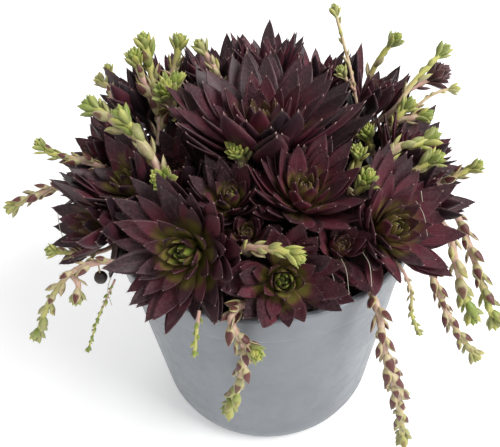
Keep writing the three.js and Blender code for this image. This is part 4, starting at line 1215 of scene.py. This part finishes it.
def runner_material(settings):
    """Cream stem flushed with pink, brown scales with cream edges, and yellow-green buds. The
    grain is a draw for each leaf, below 0 on the ball and above 1 on the threads."""
    if "runner_skin" in bpy.data.materials:
        return bpy.data.materials["runner_skin"]
    finish = Finish("runner_skin", 0.45)
    along, beside, grain = finish.vector("place")
    green, brown, stem = finish.vector("look")
    patches = finish.noise(3.0)
    fine = finish.noise(0.6)

    greening = finish.ramp(finish.plus(green, finish.times(patches, 0.4)), 0.25, 1.0)
    scale = finish.mix(greening, settings.scale_pale, settings.bud_green)
    yellowing = finish.ramp(finish.plus(along, grain), 0.9, 1.9)
    scale = finish.mix(yellowing, scale, settings.bud_yellow)
    browning = finish.times(brown, finish.ramp(along, 0.2, 0.55))
    browning = finish.times(browning, finish.ramp(beside, 0.5, 0.95, 1.0, 0.3))
    browning = finish.plus(browning, finish.swing(patches, 0.4))
    scale = finish.mix(finish.ramp(browning, 0.2, 0.6), scale, settings.scale_brown)

    bark = finish.mix(finish.ramp(patches, 0.3, 0.62), settings.stem_cream, settings.stem_pink)
    bark = finish.mix(finish.ramp(green, 0.05, 0.6), bark, settings.bud_yellow)
    bark = finish.mix(finish.times(brown, 0.7), bark, settings.scale_brown)

    colour = finish.mix(stem, scale, bark)
    colour = finish.mix(finish.ramp(grain, -0.1, -0.9), colour, settings.berry)
    colour = finish.mix(finish.ramp(grain, 1.1, 1.9), colour, settings.thread)
    finish.set("Base Color", colour)
    finish.set("Roughness", finish.ramp(fine, 0.2, 0.8, 0.4, 0.6))
    finish.bump(fine, 0.3, 0.1)
    finish.sheen(0.15, (1.0, 0.95, 0.8))
    return finish.material


def dark_material(settings):
    """The dark young rosette: near-black brown leaves with lighter edges on a pink stalk."""
    finish = Finish("dark_offset_skin", 0.45)
    _, beside, _ = finish.vector("place")
    _, _, stem = finish.vector("look")
    patches = finish.noise(3.0)
    leaf = finish.mix(finish.ramp(patches, 0.3, 0.75), settings.dark_leaf, settings.dark_patch)
    edge = finish.times(finish.ramp(beside, 0.8, 1.0), 0.35)
    leaf = finish.mix(edge, leaf, settings.dark_edge)
    finish.set("Base Color", finish.mix(stem, leaf, settings.stem_pink))
    finish.set("Roughness", finish.ramp(patches, 0.2, 0.8, 0.4, 0.6))
    finish.bump(finish.noise(0.6), 0.3, 0.1)
    finish.sheen(0.2, (0.9, 0.6, 0.6))
    return finish.material


def plastic_material(settings):
    """Moulded satin plastic: a faint mottle, fine grain and soft scuffs."""
    finish = Finish("pot_plastic_skin", 0.42)
    cloud = finish.noise(30.0)
    grain = finish.noise(0.8, 2.0)
    scuff = finish.noise(7.0, 6.0, 0.7)
    darker = [0.9 * v for v in settings.plastic]
    lighter = [min(1.0, 1.3 * v) for v in settings.plastic]
    colour = finish.mix(finish.ramp(cloud, 0.3, 0.7), settings.plastic, darker)
    colour = finish.mix(finish.ramp(scuff, 0.62, 0.8, 0.0, 0.15), colour, lighter)
    finish.set("Base Color", colour)
    finish.set("Roughness", finish.ramp(scuff, 0.35, 0.75, 0.36, 0.52))
    finish.bump(grain, 0.15, 0.08)
    return finish.material


def soil_material(settings):
    """Moist potting mix: near-black peat with browner bark crumbs."""
    finish = Finish("potting_soil_skin", 0.9)
    bark, _, _ = finish.vector("look")
    fine = finish.noise(1.2, 4.0, 0.65)
    colour = finish.mix(finish.ramp(fine, 0.3, 0.7), settings.peat_dark, settings.peat_light)
    colour = finish.mix(finish.ramp(bark, 0.6, 1.0, 0.0, 0.7), colour, settings.bark)
    finish.set("Base Color", colour)
    finish.set("Roughness", finish.ramp(fine, 0.2, 0.8, 0.8, 0.98))
    finish.bump(finish.noise(0.5, 4.0, 0.7), 0.6, 0.4)
    return finish.material


# ---- stage ----
def make_floor(settings):
    """A pale floor that gives off a little light of its own, so that it stays pale in shade."""
    mesh = bpy.data.meshes.new("studio_floor")
    corners = [(x * FLOOR_REACH, y * FLOOR_REACH, 0)
               for x, y in ((-1, -1), (1, -1), (1, 1), (-1, 1))]
    mesh.from_pydata(corners, [], [(0, 1, 2, 3)])
    floor = bpy.data.objects.new("studio_floor", mesh)
    bpy.context.scene.collection.objects.link(floor)
    finish = Finish("floor_paper", 0.9)
    speck = finish.noise(60.0, 2.0)
    finish.set("Base Color", finish.mix(speck, settings.floor, [0.985 * v for v in settings.floor]))
    finish.set("Emission Color", (1.0, 1.0, 1.0))
    finish.set("Emission Strength", settings.glow)
    mesh.materials.append(finish.material)


def make_lights(settings):
    """Even light from all round, and square lights that face the clump."""
    scene = bpy.context.scene
    world = bpy.data.worlds.new("studio_sky")
    world.use_nodes = True
    sky = world.node_tree.nodes["Background"]
    sky.inputs["Color"].default_value = (1.0, 1.0, 1.0, 1.0)
    sky.inputs["Strength"].default_value = settings.sky
    scene.world = world
    for name, (place, size) in LIGHTS.items():
        lamp = bpy.data.lights.new(f"{name}_light", "AREA")
        lamp.energy, lamp.size = getattr(settings, name), size
        light = bpy.data.objects.new(f"{name}_light", lamp)
        aim = Vector(LIGHT_AIM) - Vector(place)
        turn = aim.to_track_quat("-Z", "Y").to_matrix().to_4x4()
        light.matrix_world = Matrix.Translation(place) @ turn
        scene.collection.objects.link(light)


def make_camera():
    """The camera looks down at its angle, rolled about its sight, and turned a little more to put
    the pot at its place in the frame."""
    ahead = Vector((0, math.cos(CAMERA_DOWN), -math.sin(CAMERA_DOWN)))
    right = Vector((1, 0, 0))
    up = right.cross(ahead)
    level, tilt = math.cos(CAMERA_ROLL), math.sin(CAMERA_ROLL)
    right, up = level * right + tilt * up, level * up - tilt * right
    sight = (ahead + right * (CAMERA_AIM[0] / CAMERA_FOCUS) - up * (CAMERA_AIM[1] / CAMERA_FOCUS))
    turn = ahead.rotation_difference(sight.normalized())
    level_axes = Matrix((right, up, -ahead)).transposed()
    lens = bpy.data.cameras.new("studio_camera")
    lens.sensor_width = SENSOR
    lens.lens = SENSOR * CAMERA_FOCUS / FRAME_WIDTH
    lens.clip_start, lens.clip_end = CAMERA_CLIP
    camera = bpy.data.objects.new("studio_camera", lens)
    camera.matrix_world = (Matrix.Translation(Vector(CAMERA_PLACE) * MM)
                           @ (turn.to_matrix() @ level_axes).to_4x4())
    scene = bpy.context.scene
    scene.collection.objects.link(camera)
    scene.camera = camera
    scene.view_settings.view_transform = "Standard"


def make_stage(settings):
    make_floor(settings)
    make_lights(settings)
    make_camera()


# ---- settings, operators and panel ----
def colour_setting(name, description, default):
    return FloatVectorProperty(name=name, description=description, default=default, size=3,
                               min=0.0, max=1.0, subtype="COLOR")


def number_setting(name, description, default, low, high, **kind):
    return FloatProperty(name=name, description=description, default=default, min=low, max=high,
                         **kind)


class HouseleekLeafSettings(bpy.types.PropertyGroup):
    leaf_fullness: number_setting(
        "Leaf fullness", "Width of a leaf against the solid model's",
        1.16, 0.8, 1.4, subtype="FACTOR")
    hair_length: number_setting(
        "Hair length", "Length of the hairs along a leaf's edges, in millimetres", 0.9, 0.2, 2.0)
    hair_width: number_setting(
        "Hair width", "Width of a hair at its foot, in millimetres", 0.17, 0.05, 0.4)
    veins: number_setting("Veins", "Veins on each half of a leaf", 4.5, 1.0, 10.0)
    leaf_dark: colour_setting("Dark purple", "The leaves' deepest colour", (0.0185, 0.0095, 0.0135))
    leaf_red: colour_setting("Red purple", "The leaves' patches", (0.168, 0.028, 0.047))
    # The sheen colour is painted sheen, a lighter colour on the upper faces that stands in for
    # light; the paler midrib uses it too.
    leaf_sheen: colour_setting("Sheen", "The bloom on the upper faces", (0.185, 0.092, 0.098))
    leaf_green: colour_setting("Green heart", "The inner leaves", (0.170, 0.135, 0.034))
    leaf_heart: colour_setting("Bright heart", "The innermost leaves", (0.18, 0.26, 0.04))
    leaf_edge: colour_setting("Pale edge", "The haired edges", (0.26, 0.12, 0.13))
    leaf_tip: colour_setting("Tip", "The sharp tips", (0.55, 0.36, 0.32))
    leaf_dry: colour_setting("Dry leaf", "The withered leaves and stems", (0.035, 0.018, 0.012))


class HouseleekRunnerSettings(bpy.types.PropertyGroup):
    stem_radius: number_setting(
        "Stem radius", "Radius of a runner's stem, in millimetres", 1.25, 0.4, 2.0)
    scale_length: number_setting(
        "Scale length", "Length of a scale leaf, in millimetres", 6.2, 1.0, 9.0)
    scale_pitch: number_setting(
        "Scale pitch", "Distance between scale leaves, in millimetres", 2.1, 0.8, 5.0)
    bud_length: number_setting(
        "Bud length", "Length of the young rosette at the end, in millimetres", 8.0, 3.0, 15.0)
    bud_flare: number_setting(
        "Bud flare", "How far its outer leaves lean out, in millimetres", 4.6, 1.0, 10.0)
    stem_cream: colour_setting("Stem cream", "The stem's ground colour", (0.56, 0.44, 0.31))
    stem_pink: colour_setting("Stem flush", "The stem's pink flush", (0.48, 0.285, 0.225))
    scale_brown: colour_setting("Scale brown", "The older scales", (0.105, 0.028, 0.024))
    scale_pale: colour_setting("Scale pale", "The scales' edges", (0.50, 0.41, 0.24))
    bud_green: colour_setting("Bud green", "The buds' leaves", (0.185, 0.250, 0.035))
    bud_yellow: colour_setting("Bud yellow", "The buds' youngest leaves", (0.430, 0.420, 0.105))
    dark_leaf: colour_setting("Dark offset", "The dark young rosette", (0.03, 0.012, 0.013))
    dark_patch: colour_setting("Dark offset patch", "Its lighter patches", (0.10, 0.032, 0.034))
    dark_edge: colour_setting("Dark offset edge", "Its leaves' edges", (0.25, 0.14, 0.12))
    berry: colour_setting("Ball", "The ball on its stalk", (0.022, 0.012, 0.012))
    thread: colour_setting("Thread", "The loose threads", (0.42, 0.38, 0.30))


class HouseleekPotSettings(bpy.types.PropertyGroup):
    crumbs: IntProperty(
        name="Crumbs", description="Crumbs strewn on the soil", default=900, min=1, max=5000)
    plastic: colour_setting("Plastic", "The pot's colour", (0.180, 0.197, 0.219))
    peat_dark: colour_setting("Dark peat", "The soil's deepest colour", (0.008, 0.006, 0.005))
    peat_light: colour_setting("Light peat", "The soil's grains", (0.032, 0.021, 0.014))
    bark: colour_setting("Bark", "The browner crumbs", (0.075, 0.045, 0.027))


class HouseleekStageSettings(bpy.types.PropertyGroup):
    floor: colour_setting("Floor", "The studio floor", (0.93, 0.93, 0.93))
    glow: number_setting(
        "Floor glow", "Light that the floor gives off", 0.27, 0.0, 1.0, subtype="FACTOR")
    sky: number_setting("Sky", "Strength of the light from all round", 0.53, 0.0, 5.0)
    key: number_setting(
        "Key light", "Power of the main light, in watts", 24.0, 0.0, 100.0, unit="POWER")
    fill: number_setting(
        "Fill light", "Power of the second light, in watts", 1.0, 0.0, 100.0, unit="POWER")
    back: number_setting(
        "Back light", "Power of the light behind, in watts", 4.0, 0.0, 100.0, unit="POWER")


class HOUSELEEK_OT_pot(bpy.types.Operator):
    """Makes the plastic pot"""
    bl_idname = "houseleek.pot"
    bl_label = "Make pot"

    def execute(self, context):
        make_pot(context.scene.houseleek_pot)
        return {"FINISHED"}


class HOUSELEEK_OT_soil(bpy.types.Operator):
    """Makes the potting soil"""
    bl_idname = "houseleek.soil"
    bl_label = "Make soil"

    def execute(self, context):
        make_soil(context.scene.houseleek_pot)
        return {"FINISHED"}


class HOUSELEEK_OT_rosettes(bpy.types.Operator):
    """Makes the leaf rosettes"""
    bl_idname = "houseleek.rosettes"
    bl_label = "Make rosettes"

    def execute(self, context):
        make_rosettes(context.scene.houseleek_leaves)
        return {"FINISHED"}


class HOUSELEEK_OT_runners(bpy.types.Operator):
    """Makes the runners with their young rosettes"""
    bl_idname = "houseleek.runners"
    bl_label = "Make runners"

    def execute(self, context):
        make_runners(context.scene.houseleek_runners)
        return {"FINISHED"}


class HOUSELEEK_OT_threads(bpy.types.Operator):
    """Makes the loose pale threads"""
    bl_idname = "houseleek.threads"
    bl_label = "Make threads"

    def execute(self, context):
        make_threads(context.scene.houseleek_runners)
        return {"FINISHED"}


class HOUSELEEK_OT_stage(bpy.types.Operator):
    """Makes the floor, the lights and the camera"""
    bl_idname = "houseleek.stage"
    bl_label = "Make stage"

    def execute(self, context):
        make_stage(context.scene.houseleek_stage)
        return {"FINISHED"}


STEPS = (HOUSELEEK_OT_pot, HOUSELEEK_OT_soil, HOUSELEEK_OT_rosettes, HOUSELEEK_OT_runners,
         HOUSELEEK_OT_threads, HOUSELEEK_OT_stage)
SETTINGS = {
    "houseleek_leaves": HouseleekLeafSettings,
    "houseleek_runners": HouseleekRunnerSettings,
    "houseleek_pot": HouseleekPotSettings,
    "houseleek_stage": HouseleekStageSettings,
}


class HOUSELEEK_PT_panel(bpy.types.Panel):
    """Lists the pieces of the potted houseleek"""
    bl_idname = "HOUSELEEK_PT_panel"
    bl_label = "Houseleek"
    bl_space_type = "VIEW_3D"
    bl_region_type = "UI"
    bl_category = "Houseleek"

    def draw(self, context):
        for step in STEPS:
            self.layout.operator(step.bl_idname)
        for name in SETTINGS:
            group = getattr(context.scene, name)
            for field in group.bl_rna.properties:
                if not field.is_readonly and field.identifier != "name":
                    self.layout.prop(group, field.identifier)


def register():
    for kind in (*SETTINGS.values(), *STEPS, HOUSELEEK_PT_panel):
        bpy.utils.register_class(kind)
    for name, kind in SETTINGS.items():
        setattr(bpy.types.Scene, name, PointerProperty(type=kind))


def unregister():
    for name in SETTINGS:
        delattr(bpy.types.Scene, name)
    for kind in (HOUSELEEK_PT_panel, *reversed(STEPS), *SETTINGS.values()):
        bpy.utils.unregister_class(kind)


def main():
    register()
    bpy.ops.houseleek.stage()
    bpy.ops.houseleek.pot()
    bpy.ops.houseleek.soil()
    bpy.ops.houseleek.rosettes()
    bpy.ops.houseleek.runners()
    bpy.ops.houseleek.threads()
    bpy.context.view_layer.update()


if __name__ == "__main__":
    main()
